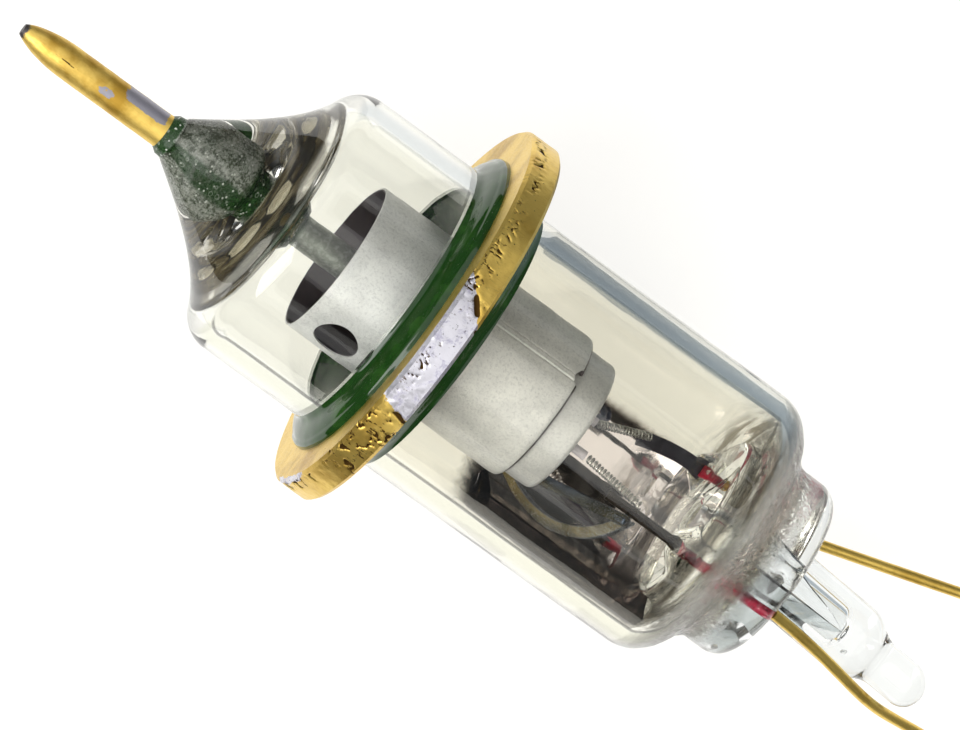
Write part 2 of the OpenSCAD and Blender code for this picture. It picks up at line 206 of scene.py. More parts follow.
class HeaterSettings(bpy.types.PropertyGroup):
    """Sizes and colours of the heater, its tails and the strips that carry them"""

    coat_radius: length("Coat radius", "Radius of the coated heater wire", 0.22)
    coil_radius: length("Coil radius", "Middle radius of the bare coiled tails", 0.15)
    wire_radius: length("Wire radius", "Radius of the bare heater wire", 0.045)
    pitch_radius: length("Pitch radius", "Radius of the circle on which the two wires stand", 3.1)
    coat: colour("Coat", "Baked white coating", 226, 220, 230)
    wire: colour("Wire", "Bare heater wire", 205, 204, 200)
    strip: colour("Strip", "Dark strips", 74, 73, 82)
    red: colour("Red", "Red oxide on the copper wires in the stem", 170, 28, 58)


class GetterSettings(bpy.types.PropertyGroup):
    """Sizes and colours of the getter and its mirror"""

    width: length("Width", "Width of the channel strip", 0.5)
    depth: length("Depth", "Depth of the channel", 0.34)
    rise: length("Rise", "Rise of the channel's bow above its strap", 1.8)
    mirror: colour("Mirror", "Metal film on the bulb's wall", 240, 232, 235)
    smoke: colour("Smoke", "Thin brown edge of the film", 150, 122, 110)


class LeadSettings(bpy.types.PropertyGroup):
    """Sizes of the outside leads"""

    radius: length("Radius", "Radius of the leads", 0.25)
    bend: length("Bend", "Radius of the bends", 3)
    landing: length("Landing", "Flat length between a lead's two bends", 0.6)
    rest_a: length("Rest A", "Straight end of the lead on the far side", 3.2)
    rest_b: length("Rest B", "Straight end of the lead on the near side", 5.4)


class StageSettings(bpy.types.PropertyGroup):
    """Floor, light and camera"""

    distance: length("Distance", "Distance from the camera to the tube", 600)
    floor: colour("Floor", "Pale floor", 250, 249, 246)
    sky: colour("Sky", "Soft white light from all round", 255, 255, 255)


def mm(size):
    return size / MM


def arc(centre, radius, start, end, steps=10):
    """Points of an arc from one angle to another, in degrees."""
    turns = np.radians(np.linspace(start, end, steps + 1))
    return [(centre[0] + radius * math.cos(a), centre[1] + radius * math.sin(a)) for a in turns]


def curve(a, b, c, d, steps=12):
    """Points of a cubic curve through four control points."""
    a, b, c, d = (np.array(p, float) for p in (a, b, c, d))
    points = []
    for t in np.linspace(0, 1, steps + 1):
        points.append(tuple((1 - t) ** 3 * a + 3 * (1 - t) ** 2 * t * b + 3 * (1 - t) * t * t * c + t**3 * d))
    return points


def circle(radius, sides):
    turns = [2 * math.pi * k / sides for k in range(sides)]
    return [(radius * math.cos(turn), radius * math.sin(turn)) for turn in turns]


def dense(outline, step, inside=lambda radius, height: True):
    """The outline with extra points, no further apart than step where inside() is true."""
    points = [outline[0]]
    for (x0, y0), (x1, y1) in zip(outline, outline[1:]):
        gap = math.dist((x0, y0), (x1, y1))
        parts = max(1, math.ceil(gap / step)) if inside((x0 + x1) / 2, (y0 + y1) / 2) else 1
        points += [(x0 + (x1 - x0) * k / parts, y0 + (y1 - y0) * k / parts) for k in range(1, parts + 1)]
    return points


def skin_faces(loops, count, closed=False):
    """Faces between loops of count points each. Closed joins the last loop to the first."""
    faces = []
    for loop in range(loops if closed else loops - 1):
        here, there = loop * count, (loop + 1) % loops * count
        for k in range(count):
            after = (k + 1) % count
            faces.append((here + k, here + after, there + after, there + k))
    return faces


def turned(outline, steps=256, closed=False):
    """Points and faces of an outline of (radius, height) pairs turned round the tube's axis."""
    outline = np.array(outline, float)
    around = np.linspace(0, 2 * np.pi, steps, endpoint=False)
    radius, height = outline[:, :1], outline[:, 1:]
    points = np.stack([radius * np.cos(around), radius * np.sin(around), height * np.ones(steps)], axis=-1)
    return points.reshape(-1, 3), skin_faces(len(outline), steps, closed)


def lofted(loops):
    """Points and faces of a solid that runs from one loop of points to the next, closed at both ends."""
    count, last = len(loops[0]), len(loops) - 1
    faces = skin_faces(len(loops), count)
    faces += [tuple(reversed(range(count))), tuple(last * count + n for n in range(count))]
    return np.array([p for loop in loops for p in loop], float), faces


def swept(path, section, hint=None):
    """Points and faces of a section carried along a path. The section's first axis stays square to hint."""
    path = [Vector(p) for p in path]
    side, loops = None, []
    for k, here in enumerate(path):
        ahead = (path[min(k + 1, len(path) - 1)] - path[max(k - 1, 0)]).normalized()
        if hint is not None:
            side = Vector(hint).cross(ahead).normalized()
        elif side is None:
            side = ahead.orthogonal().normalized()
        else:
            side = (side - ahead * side.dot(ahead)).normalized()
        other = ahead.cross(side)
        loops.append([here + side * u + other * v for u, v in section])
    return lofted(loops)


def wire(path, radius, sides, swell):
    """A round wire along a path. swell() gives the share of the radius at each point."""
    points, faces = swept(path, circle(radius, sides))
    centre = np.repeat(np.array([tuple(p) for p in path]), sides, axis=0)
    return centre + (points - centre) * swell(points)[:, None], faces


def joined(*parts):
    """Several lists of points and faces as one."""
    points, faces, start = [], [], 0
    for some, more in parts:
        points.append(np.array(some, float))
        faces += [tuple(start + n for n in face) for face in more]
        start += len(some)
    return np.concatenate(points), faces


def wobble(points, scale, shift=0.0):
    """Smooth noise from -1 to 1 at each point."""
    return np.array([noise.noise(Vector(p) * scale + Vector((shift, 0, 0))) for p in points])


def from_axis(points):
    """Distance from the axis, and angle round it in degrees."""
    return np.hypot(points[:, 0], points[:, 1]), np.degrees(np.arctan2(points[:, 1], points[:, 0]))


def pushed(points, amount):
    """The points moved away from the tube's axis by an amount each."""
    radius = np.maximum(from_axis(points)[0], 1e-6)
    moved = points.copy()
    moved[:, :2] *= ((radius + amount) / radius)[:, None]
    return moved


def between(value, low, high):
    """0 below low, 1 above high and a smooth step in between."""
    t = np.clip((np.asarray(value, float) - low) / (high - low), 0, 1)
    return t * t * (3 - 2 * t)


def near(value, middle, full, none):
    """1 where value is within full of the middle, 0 where it is further than none."""
    return between(np.abs(value - middle), none, full)


def on_pitch(heater, angle, height):
    """A place on the circle on which the two wires stand."""
    turn = math.radians(angle)
    return mm(heater.pitch_radius) * Vector((math.cos(turn), math.sin(turn), 0)) + Vector((0, 0, height))


def new_mesh(name, shape):
    """A mesh from a shape, which is points and faces."""
    points, faces = shape
    mesh = bpy.data.meshes.new(name)
    mesh.from_pydata([tuple(p) for p in points], [], faces)
    return mesh


def new_object(name, data):
    """An object in the scene that shows a mesh, a lamp or a camera."""
    thing = bpy.data.objects.new(name, data)
    bpy.context.scene.collection.objects.link(thing)
    return thing


def make_piece(name, shape, finish, slot, *nodes, crease=40, masks=None, hollows=None):
    """A mesh object in the tube's frame. masks are numbers for each point, for its finish to read.
    hollows are closed shells of empty space inside the piece."""
    mesh = new_mesh(name, shape)
    for label, numbers in (masks or {}).items():
        mesh.attributes.new(label, "FLOAT", "POINT").data.foreach_set("value", np.array(numbers, np.float32))
    work = bmesh.new()
    work.from_mesh(mesh)
    bmesh.ops.remove_doubles(work, verts=work.verts, dist=1e-5)
    bmesh.ops.recalc_face_normals(work, faces=work.faces)
    if hollows:
        start = len(work.verts)
        for p in hollows[0]:
            work.verts.new(p)
        work.verts.ensure_lookup_table()
        for face in hollows[1]:
            work.faces.new([work.verts[start + n] for n in reversed(face)])
    work.to_mesh(mesh)
    work.free()
    mesh.transform(TUBE)
    mesh.shade_smooth()
    mesh.set_sharp_from_angle(angle=math.radians(crease))
    mesh.materials.append(finish)
    piece = new_object(name, mesh)
    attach(piece, "root")
    if nodes:
        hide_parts(*nodes)
    return piece


def cut(piece, shape):
    """Takes a shape out of a piece."""
    mesh = new_mesh("cutter", shape)
    mesh.transform(TUBE)
    work = bmesh.new()
    work.from_mesh(mesh)
    bmesh.ops.recalc_face_normals(work, faces=work.faces)
    work.to_mesh(mesh)
    work.free()
    cutter = new_object("cutter", mesh)
    change = piece.modifiers.new("cut", "BOOLEAN")
    change.object = cutter
    change.operation = "DIFFERENCE"
    change.solver = "EXACT"
    bpy.context.view_layer.update()
    done = bpy.data.meshes.new_from_object(piece.evaluated_get(bpy.context.evaluated_depsgraph_get()))
    piece.modifiers.clear()
    piece.data = done
    bpy.data.objects.remove(cutter)
    piece.data.shade_smooth()
    piece.data.set_sharp_from_angle(angle=math.radians(40))


class Value:
    """What a node of a finish gives. Values are added, taken away, multiplied and divided like numbers."""

    def __init__(self, finish, socket):
        self.finish, self.socket = finish, socket

    def __add__(self, other):
        return self.finish.reckon("ADD", self, other)

    def __sub__(self, other):
        return self.finish.reckon("SUBTRACT", self, other)

    def __mul__(self, other):
        return self.finish.reckon("MULTIPLY", self, other)

    def __truediv__(self, other):
        return self.finish.reckon("DIVIDE", self, other)


class Finish:
    """One finish: a node tree that works in the tube's own millimetres, built with short calls."""

    def __init__(self, name):
        self.material = bpy.data.materials.new(name)
        self.material.use_nodes = True
        self.tree = self.material.node_tree
        self.tree.nodes.clear()
        where = self.add("ShaderNodeTexCoord", output="Object")
        sizes = {"Vector": where, "Location": RING_MIDDLE, "Rotation": TUBE.to_euler(), "Scale": (MM, MM, MM)}
        self.place = self.add("ShaderNodeMapping", sizes, vector_type="TEXTURE")
        parts = self.add("ShaderNodeSeparateXYZ", {0: self.place}).socket.node
        self.x, self.y, self.z = (Value(self, socket) for socket in parts.outputs)

    def add(self, kind, inputs=None, output=0, **settings):
        """A new node with its inputs linked or set. Gives the value of one of its outputs."""
        node = self.tree.nodes.new(kind)
        for name, value in settings.items():
            setattr(node, name, value)
        for socket, value in (inputs or {}).items():
            if isinstance(value, Value):
                self.tree.links.new(value.socket, node.inputs[socket])
            elif node.inputs[socket].type == "RGBA":
                node.inputs[socket].default_value = (*value, 1)
            else:
                node.inputs[socket].default_value = value
        return Value(self, node.outputs[output])

    def reckon(self, kind, a, b=0.0):
        """A sum of one kind on one or two values."""
        return self.add("ShaderNodeMath", {0: a, 1: b}, operation=kind)

    def around(self):
        """Angle round the axis, in degrees from the upper side."""
        return self.reckon("DEGREES", self.reckon("ARCTAN2", self.y, self.x))

    def away(self):
        """Distance from the tube's axis."""
        return self.reckon("SQRT", self.x * self.x + self.y * self.y)

    def along(self, share):
        """The place with its length along the axis scaled by a share."""
        return self.add("ShaderNodeVectorMath", {0: self.place, 1: (1, 1, share)}, operation="MULTIPLY")

    def ringed(self, spread):
        """The place as direction from the axis and distance from it, so that patterns run in circles."""
        away = self.away()
        parts = {0: self.x / away, 1: self.y / away, 2: (away + self.z) * spread}
        return self.add("ShaderNodeCombineXYZ", parts)

    def clouds(self, scale, detail=3.0, rough=0.5, warp=0.0, place=None):
        """Soft cloudy noise, about 0.5 in the middle of its range."""
        inputs = {"Scale": scale, "Detail": detail, "Roughness": rough, "Distortion": warp}
        return self.add("ShaderNodeTexNoise", {"Vector": place or self.place, **inputs})

    def cells(self, scale):
        """Distance from the nearest of many scattered points."""
        return self.add("ShaderNodeTexVoronoi", {"Vector": self.place, "Scale": scale}, "Distance")

    def step(self, value, low, high, start=0.0, end=1.0):
        """A smooth step from start to end while value goes from low to high."""
        inputs = {"Value": value, "From Min": low, "From Max": high, "To Min": start, "To Max": end}
        return self.add("ShaderNodeMapRange", inputs, interpolation_type="SMOOTHSTEP")

    def mask(self, name):
        """The numbers that the mesh keeps at its points under this name."""
        return self.add("ShaderNodeAttribute", output="Fac", attribute_name=name)

    def paint(self, share, under, over):
        """Colour under with colour over laid on it by a share."""
        return self.add("ShaderNodeMix", {0: share, 6: under, 7: over}, 2, data_type="RGBA")

    def either(self, share, under, over):
        """The number under, moved to the number over by a share."""
        return self.add("ShaderNodeMix", {0: share, 2: under, 3: over}, data_type="FLOAT")

    def bump(self, height, depth):
        """Relief from a height between 0 and 1, depth millimetres deep."""
        return self.add("ShaderNodeBump", {"Height": height, "Distance": depth * MM, "Strength": 1.0})

    def principled(self, **inputs):
        """The surface shader, with its inputs named with low lines for spaces."""
        return self.add("ShaderNodeBsdfPrincipled", {name.replace("_", " "): inputs[name] for name in inputs})

    def done(self, shader):
        """Ends the tree with a shader and gives the material."""
        end = self.tree.nodes.new("ShaderNodeOutputMaterial")
        self.tree.links.new(shader.socket, end.inputs["Surface"])
        return self.material

    def solid(self, **inputs):
        """The material of a finish that needs the surface shader alone."""
        return self.done(self.principled(**inputs))


def gold_finish(name, plating, rubbed=False):
    """Dulled gold plating. If rubbed, silvery metal shows in the worn mask, and dirt fills the pits."""
    f = Finish(name)
    fine = f.clouds(3.2, 6, 0.65)
    grain = f.clouds(14, 4, 0.6, place=f.along(0.25))
    skin = f.paint(f.step(f.clouds(0.35, 4, 0.6), 0.42, 0.75), plating.gold, plating.olive)
    skin = f.paint(f.step(grain, 0.52, 0.75, 0, 0.4), skin, plating.olive)
    skin = f.paint(f.step(f.cells(2.4), 0.1, 0.05) * f.step(fine, 0.5, 0.6), skin, plating.brown)
    rough = f.either(f.step(grain, 0.3, 0.7), 0.28, 0.42)
    if rubbed:
        bare = f.step(f.mask("worn") + (fine - 0.5) * 0.9, 0.46, 0.54)
        smear = f.clouds(2.1, 6, 0.7, warp=0.5)
        metal = f.paint(f.step(smear, 0.5, 0.66, 0, 0.75), plating.silver, (0.4, 0.38, 0.5))
        metal = f.paint(f.step(f.clouds(7, 4, 0.6), 0.64, 0.7), metal, (0.05, 0.04, 0.04))
        small = f.mask("zone") * f.step(f.clouds(5.5, 5, 0.6, place=f.along(0.5)), 0.56, 0.64)
        pits = f.reckon("MAXIMUM", f.step(f.mask("pit") + fine * 0.5, 0.5, 0.8), small)
        skin = f.paint(pits, f.paint(bare, skin, metal), plating.brown)
        rough = f.either(pits, f.either(bare, rough, f.step(smear, 0.4, 0.6, 0.32, 0.5)), 0.7)
    relief = f.bump(fine * 0.6 + grain * 0.4, 0.012)
    return f.solid(Base_Color=skin, Metallic=0.92, Roughness=rough, Normal=relief)


def clear_glass_finish(name, tint, edge, shade_line_share, fused=False):
    """Clear blown glass with faint smears, a painted reflection band and painted shade where it is seen at a
    slant. Lamps shine through it to what is inside.
    Fused glass is grey and full of seeds where its milky mask is high, and brown where its burnt mask is."""
    f = Finish(name)
    smears = f.clouds(0.7, 5, 0.6, warp=0.6, place=f.along(0.5))
    rim = f.add("ShaderNodeLayerWeight", {"Blend": 0.5}, "Facing")
    wall = f.step(f.away(), 5.9, 6.1)
    far_side = f.step(f.y, -1, 1)
    # Painted reflection and painted shade: where the wall is seen at a slant, its tint gets a painted pale
    # band and a painted dark line beside it. They are cream and near-black on the near side, and blue-grey on
    # the far side.
    band = f.step(rim, 0.5, 0.53) * f.step(rim, 0.82, 0.62) * wall
    pale = f.paint(far_side, (0.66, 0.67, 0.48), (0.36, 0.43, 0.5))
    skin = f.paint(band * 0.75, tint, pale)
    line = f.step(rim, 0.47, 0.485) * f.step(rim, 0.52, 0.505) * wall
    dark = f.paint(far_side, (0.015, 0.015, 0.012), (0.22, 0.27, 0.32))
    skin = f.paint(line * f.either(far_side, 0.85, shade_line_share), skin, dark)
    # Painted shade: the glass is painted darker where it is seen edge-on.
    skin = f.paint(f.step(rim, 0.75, 0.97), skin, edge)
    rough = f.step(smears, 0.5, 0.8, 0.0, 0.035)
    relief = f.clouds(0.45, 2, 0.4)
    if fused:
        skin = f.paint(f.step(f.z, BUTTON_TOP, BUTTON_TOP - 0.6), skin, (0.9, 0.92, 0.92))
        seeds = f.mask("milky") * f.step(f.clouds(4.4, 7, 0.78, warp=0.8), 0.44, 0.58)
        skin = f.paint(seeds, skin, (0.3, 0.29, 0.25))
        streaks = f.clouds(1.6, 4, 0.55, warp=0.7, place=f.ringed(1.6))
        burnt = f.mask("burnt") * f.step(streaks, 0.4, 0.58, 0.25, 1.0)
        skin = f.paint(burnt, skin, (0.1, 0.085, 0.06))
        rough = f.either(seeds, rough, 0.05)
        relief = relief + seeds * 1.2
    body = f.principled(
        Base_Color=skin, Transmission_Weight=1.0, IOR=1.49, Roughness=rough, Normal=f.bump(relief, 0.014)
    )
    lamp = f.add("ShaderNodeLightPath", output="Is Shadow Ray")
    open_way = f.add("ShaderNodeBsdfTransparent", {"Color": (0.94, 0.94, 0.92)})
    return f.done(f.add("ShaderNodeMixShader", {0: lamp, 1: body, 2: open_way}))


def green_glass_finish(seals):
    """Dark green sealing glass with tiny bubbles under a glossy skin."""
    f = Finish("green glass")
    clouds = f.clouds(0.9, 4, 0.55)
    bubbles = f.step(f.cells(5.5), 0.1, 0.05)
    skin = f.paint(f.step(clouds, 0.45, 0.8, 0, 0.6), seals.green, seals.leaf)
    skin = f.paint(bubbles * 0.3, skin, seals.ash)
    rough = f.step(clouds, 0.3, 0.7, 0.03, 0.08)
    return f.solid(Base_Color=skin, Roughness=rough, IOR=1.5, Normal=f.bump(clouds + bubbles, 0.006))


def bead_finish(seals):
    """Sealing glass round the rod: dark, mottled with grey ash and seeds, with clean green bands along it."""
    f = Finish("mottled bead")
    lump = f.clouds(1.6, 8, 0.78, warp=0.7, place=f.along(0.7))
    fine = f.clouds(9, 8, 0.8)
    seeds = f.step(f.cells(3.6), 0.2, 0.13)
    rings = f.step(f.cells(2.6), 0.3, 0.24) * f.step(f.cells(2.6), 0.16, 0.22)
    stripe = f.step(f.reckon("ABSOLUTE", f.around() + 22), 24, 14) * f.step(lump, 0.3, 0.5)
    clean = f.reckon("MAXIMUM", stripe, f.step(f.z, 9.0, 8.5))
    clean = f.reckon("MAXIMUM", clean, f.step(f.z, 12.78, 12.84))
    dark = f.paint(f.step(lump, 0.4, 0.62), (0.055, 0.065, 0.045), seals.green)
    ash = f.paint(f.step(fine, 0.42, 0.6), (0.2, 0.21, 0.185), seals.ash)
    skin = f.paint(f.step(lump + fine * 0.5, 0.66, 0.8), dark, ash)
    skin = f.paint(clean, skin, f.paint(f.step(fine, 0.5, 0.7), seals.green, seals.leaf))
    skin = f.paint(seeds * 0.75, skin, (0.66, 0.68, 0.62))
    skin = f.paint(rings * 0.28, skin, (0.5, 0.54, 0.47))
    rough = f.step(fine, 0.3, 0.7, 0.15, 0.4)
    return f.solid(Base_Color=skin, Roughness=rough, IOR=1.52, Normal=f.bump(fine + seeds, 0.02))


def nickel_finish(name, shields, dull=0.0, inside=0.0):
    """Matt nickel sheet with a fine grain and small dark specks. It has painted shade up to the radius
    inside.
    """
    f = Finish(name)
    grain = f.clouds(9, 6, 0.75)
    brush = f.clouds(9, 4, 0.6, place=f.along(0.2))
    stain = f.clouds(0.6, 4, 0.6)
    specks = f.step(f.cells(3.1), 0.07, 0.03) * f.step(stain, 0.4, 0.6)
    skin = f.paint(f.step(stain, 0.35, 0.75, dull, dull + 0.35), shields.nickel, shields.shade)
    skin = f.paint(f.step(grain, 0.47, 0.66, 0, 0.42), skin, shields.shade)
    skin = f.paint(specks, skin, (0.1, 0.09, 0.08))
    # Painted shade: the sheet's inner face is painted dark, where little light gets in.
    if inside:
        skin = f.paint(f.step(f.away(), inside - 0.01, inside - 0.04), skin, (0.1, 0.085, 0.095))
    rough = f.step(grain, 0.3, 0.7, 0.36, 0.55)
    relief = f.bump(grain * 0.7 + brush * 0.3, 0.012)
    return f.solid(Base_Color=skin, Metallic=0.42, Roughness=rough, Normal=relief)


def strip_finish(name, base, rough=0.35):
    """Rolled strip with fine lighter lines along it and darker patches."""
    f = Finish(name)
    lines = f.clouds(5, 3, 0.55, place=f.along(0.3))
    patch = f.clouds(1.6, 4, 0.6)
    dark, light = tuple(part * 0.6 for part in base), tuple(min(1, part * 1.9) for part in base)
    skin = f.paint(f.step(patch, 0.45, 0.75), base, dark)
    skin = f.paint(f.step(lines, 0.55, 0.75, 0, 0.35), skin, light)
    rough = f.step(lines, 0.3, 0.7, rough - 0.08, rough + 0.12)
    return f.solid(Base_Color=skin, Metallic=0.8, Roughness=rough, Normal=f.bump(lines, 0.003))


def getter_finish(name, bright):
    """Polished grey strip with the finest of rolling lines."""
    f = Finish(name)
    lines = f.clouds(24, 3, 0.5)
    skin = f.paint(f.step(f.clouds(0.8, 3, 0.5), 0.4, 0.65), bright, tuple(part * 0.65 for part in bright))
    rough = f.step(lines, 0.3, 0.7, 0.2, 0.28)
    return f.solid(Base_Color=skin, Metallic=0.9, Roughness=rough, Normal=f.bump(lines, 0.0006))


def coat_finish(heater):
    """Baked white powder on the heater's wire."""
    f = Finish("heater coating")
    powder = f.clouds(18, 6, 0.75)
    skin = f.paint(f.step(powder, 0.4, 0.7), heater.coat, (0.6, 0.56, 0.62))
    return f.solid(Base_Color=skin, Roughness=0.85, Normal=f.bump(powder, 0.03))


def wire_finish(heater):
    """Bare heater wire, bright on top of its turns."""
    f = Finish("heater wire")
    patch = f.clouds(9, 4, 0.6)
    skin = f.paint(f.step(patch, 0.4, 0.7), heater.wire, (0.16, 0.15, 0.15))
    rough = f.step(patch, 0.3, 0.7, 0.25, 0.45)
    return f.solid(Base_Color=skin, Metallic=0.9, Roughness=rough, Normal=f.bump(patch, 0.004))


def red_finish(heater):
    """Red oxide with darker patches, on the copper wires in the stem."""
    f = Finish("red copper")
    patch = f.clouds(2.2, 5, 0.65)
    skin = f.paint(f.step(patch, 0.42, 0.62), heater.red, (0.12, 0.01, 0.02))
    skin = f.paint(f.step(f.clouds(6, 4, 0.6), 0.62, 0.7), skin, (0.75, 0.3, 0.35))
    return f.solid(Base_Color=skin, Roughness=0.35, IOR=1.5, Normal=f.bump(patch, 0.02))


def mirror_finish(getter):
    """Getter film: a mirror that thins out to brown smoke at its edge and is burnt dark on its low side."""
    f = Finish("getter mirror")
    waves = f.clouds(1.1, 3, 0.5, warp=1.0, place=f.along(1.6))
    cover = f.mask("cover") + (waves - 0.5) * 0.2
    # Red-brown smoke at the film's edge, a mirror in its middle, and burnt metal on the low side.
    skin = f.paint(f.step(cover, 0.25, 0.6), getter.smoke, getter.mirror)
    burnt = f.paint(f.step(waves, 0.4, 0.62), (0.15, 0.128, 0.12), (0.065, 0.056, 0.054))
    skin = f.paint(f.step(f.around(), -150, -130) * f.step(f.y, 0, -0.5), skin, burnt)
    return f.solid(
        Base_Color=skin, Metallic=f.step(cover, 0.1, 0.35, 0.3, 1.0), Alpha=f.step(cover, 0.02, 0.5),
        Roughness=f.step(waves, 0.3, 0.7, 0.02, 0.06), Normal=f.bump(f.clouds(0.8, 2, 0.4), 0.01),
    )


def rod_finish(seals, plating):
    """The pin's one length of metal: gold outside, green in the bead and grey in the chamber."""
    f = Finish("anode pin")
    green_start, gold_start, bare_tip = 6.0, 12.9, 20.66
    fine = f.clouds(4.5, 6, 0.65)
    grain = f.clouds(12, 4, 0.6, place=f.along(0.18))
    gold = f.paint(f.step(f.clouds(0.55, 4, 0.6), 0.4, 0.7), plating.gold, plating.olive)
    gold = f.paint(f.step(grain, 0.5, 0.78, 0, 0.4), gold, plating.olive)
    gold = f.paint(f.step(f.mask("rubbed") + (fine - 0.5) * 1.5, 0.44, 0.56), gold, (0.36, 0.35, 0.4))
    gold = f.paint(f.step(f.mask("dirt") + (fine - 0.5) * 0.8, 0.45, 0.6), gold, plating.brown)
    gold = f.paint(f.step(f.z + fine * 0.6, bare_tip, bare_tip + 0.14), gold, plating.tip)
    grey = f.paint(f.step(fine, 0.4, 0.7), (0.2, 0.22, 0.19), (0.38, 0.4, 0.36))
    skin = f.paint(f.step(f.z, green_start, green_start + 0.4), grey, seals.green)
    skin = f.paint(f.step(f.z, gold_start, gold_start + 0.05), skin, gold)
    rough = f.step(grain, 0.3, 0.7, 0.38, 0.52)
    relief = f.bump(fine * 0.6 + grain * 0.4, 0.01)
    return f.solid(Base_Color=skin, Metallic=0.85, Roughness=rough, Normal=relief)


def streak_finish():
    """Brown and black waves that the thick glass shows above the chamber, with clear gaps between them and a
    painted cream highlight in each gap.
    """
    f = Finish("brown streaks")
    waves = f.clouds(1.3, 4, 0.5, warp=0.8, place=f.ringed(1.4))
    painted_glow_gap = f.mask("painted_glow_gap") + (waves - 0.5) * 2.2
    skin = f.paint(f.step(waves, 0.36, 0.5), (0.42, 0.36, 0.22), (0.1, 0.08, 0.045))
    skin = f.paint(f.step(waves, 0.5, 0.58), skin, (0.012, 0.01, 0.008))
    # Each gap gets a dark rim and a middle painted cream as a highlight.
    skin = f.paint(f.step(painted_glow_gap, 0.1, 0.4), skin, (0.03, 0.027, 0.02))
    skin = f.paint(f.step(painted_glow_gap, 0.45, 0.75), skin, (0.9, 0.81, 0.58))
    cover = f.step(waves, 0.38, 0.48, 0.12, 1.0) * f.step(painted_glow_gap, 0.8, 0.45, 0.28, 1.0)
    cover = cover * f.step(f.away(), 3.8, 4.5, 1.0, 0.45)
    gloss = f.step(waves, 0.4, 0.6, 0.15, 0.3)
    return f.solid(Base_Color=skin, Roughness=gloss, Alpha=cover, Normal=f.bump(waves, 0.015))


def build_ring(ring, plating):
    """The turned ring: thin web, thick rim, pits and the patch where the plating is rubbed away."""
    radius, half, chamfer = mm(ring.radius), mm(ring.thickness) / 2, mm(ring.chamfer)
    hole, web, thin = mm(ring.hole_radius), mm(ring.web_radius), mm(ring.web_thickness) / 2
    lower = [(hole, -thin), (web, -thin), (web, -half), (radius - chamfer, -half), (radius, -half + chamfer)]
    outline = lower + [(r, -z) for r, z in reversed(lower)]
    outline = dense(outline, 0.055, lambda r, z: r > radius - 0.4)
    outline = dense(outline, 0.25, lambda r, z: r > web)
    points, faces = turned(outline, 900, closed=True)
    away, angle = from_axis(points)
    level = points[:, 2] / half
    on_rim = between(away, radius - 0.35, radius - 0.12)
    # The rubbed patch ends at two angles that lean with the level on the rim. A small patch lies low down.
    patch_start, patch_end = -22.5 + 1.2 * level, 14 + 6.5 * level
    inside = np.minimum(patch_end - angle, angle - patch_start)
    low_patch = 0.62 * near(angle, -76, 8, 18) * between(level, 0.2, 0.9)
    worn = np.maximum(between(inside, -3, 3), low_patch) * on_rim
    # Pits crowd beside both ends of the patch and in a belt round the rim, and are sparse elsewhere.
    upper_pits = near(angle, 22, 6, 13) * between(level, -0.2, 0.3)
    lower_pits = near(angle, -38, 8, 16)
    elsewhere = 0.45 * between(wobble(points, 0.21, 3), 0.0, 0.4)
    belt = 0.85 * between(level, -0.15, 0.25) * between(level, 0.95, 0.7)
    belt = belt * between(wobble(points, 0.7, 21), -0.35, 0.1)
    zone = np.maximum.reduce([upper_pits, lower_pits, elsewhere, belt]) * on_rim
    # The pits are short cracks, with flakes of plating along the patch's edge.
    cracks = between(1 - np.abs(wobble(points * (1, 1, 0.5), 3.4)) * 2.2, 0.6, 0.95)
    cracks = cracks * between(wobble(points, 2.4, 7), -0.05, 0.25)
    flakes = between(np.abs(inside), 2.2, 0.3) * between(wobble(points, 1.7, 11), 0.0, 0.35) * on_rim
    pit = np.maximum(cracks * zone, flakes)
    depth = mm(ring.pit_depth) * pit + 0.02 * worn * on_rim + 0.008 * wobble(points, 3.1, 5) * on_rim
    make_piece(
        "ring", (pushed(points, -depth - 0.004), faces), gold_finish("ring plating", plating, rubbed=True),
        "gold_plate", "cathode_ring", crease=35, masks={"worn": worn, "pit": pit, "zone": zone},
    )


def build_pin(pin, plating, seals):
    """The anode pin with its blunt end, and the rod of the same metal."""
    radius, rod, tip, flat = mm(pin.radius), mm(pin.rod_radius), mm(pin.tip_height), mm(pin.tip_radius)
    nose, foot, dip = mm(pin.nose), 1.28, 0.005
    outline = [(0, foot), (rod, foot), (rod, 12.5), (radius, PIN_ROOT)]
    bulge, taper = (radius, tip - 0.75 * nose), (0.62, tip - 0.25 * nose)
    outline += curve((radius, tip - nose), bulge, taper, (flat, tip), 16)
    outline += [(flat * 0.5, tip - dip), (0, tip - dip)]
    points, faces = turned(dense(outline, 0.09, lambda r, z: z > 12.5), 144)
    _, angle = from_axis(points)
    height = points[:, 2]
    # A clip has rubbed a patch and a spot, and dirt lies in a short line.
    patch = near(angle, 48, 26, 42) * between(height, 15.9, 15.2) * between(height, PIN_ROOT, 13.7)
    spot = between(np.hypot((height - 16.3) / 0.5, (angle + 6) / 18), 1.2, 0.6)
    line = near(angle - 3 * wobble(points, 2), -2, 2, 5) * near(height, 18.4, 0.6, 0.8)
    dents = np.where(height > PIN_ROOT, 0.008 * wobble(points, 1.6, 2) - 0.008, 0)
    make_piece(
        "pin", (pushed(points, dents), faces), rod_finish(seals, plating), "gold_plate", "anode_pin",
        masks={"rubbed": np.maximum(patch, 0.6 * spot), "dirt": 0.55 * line},
    )


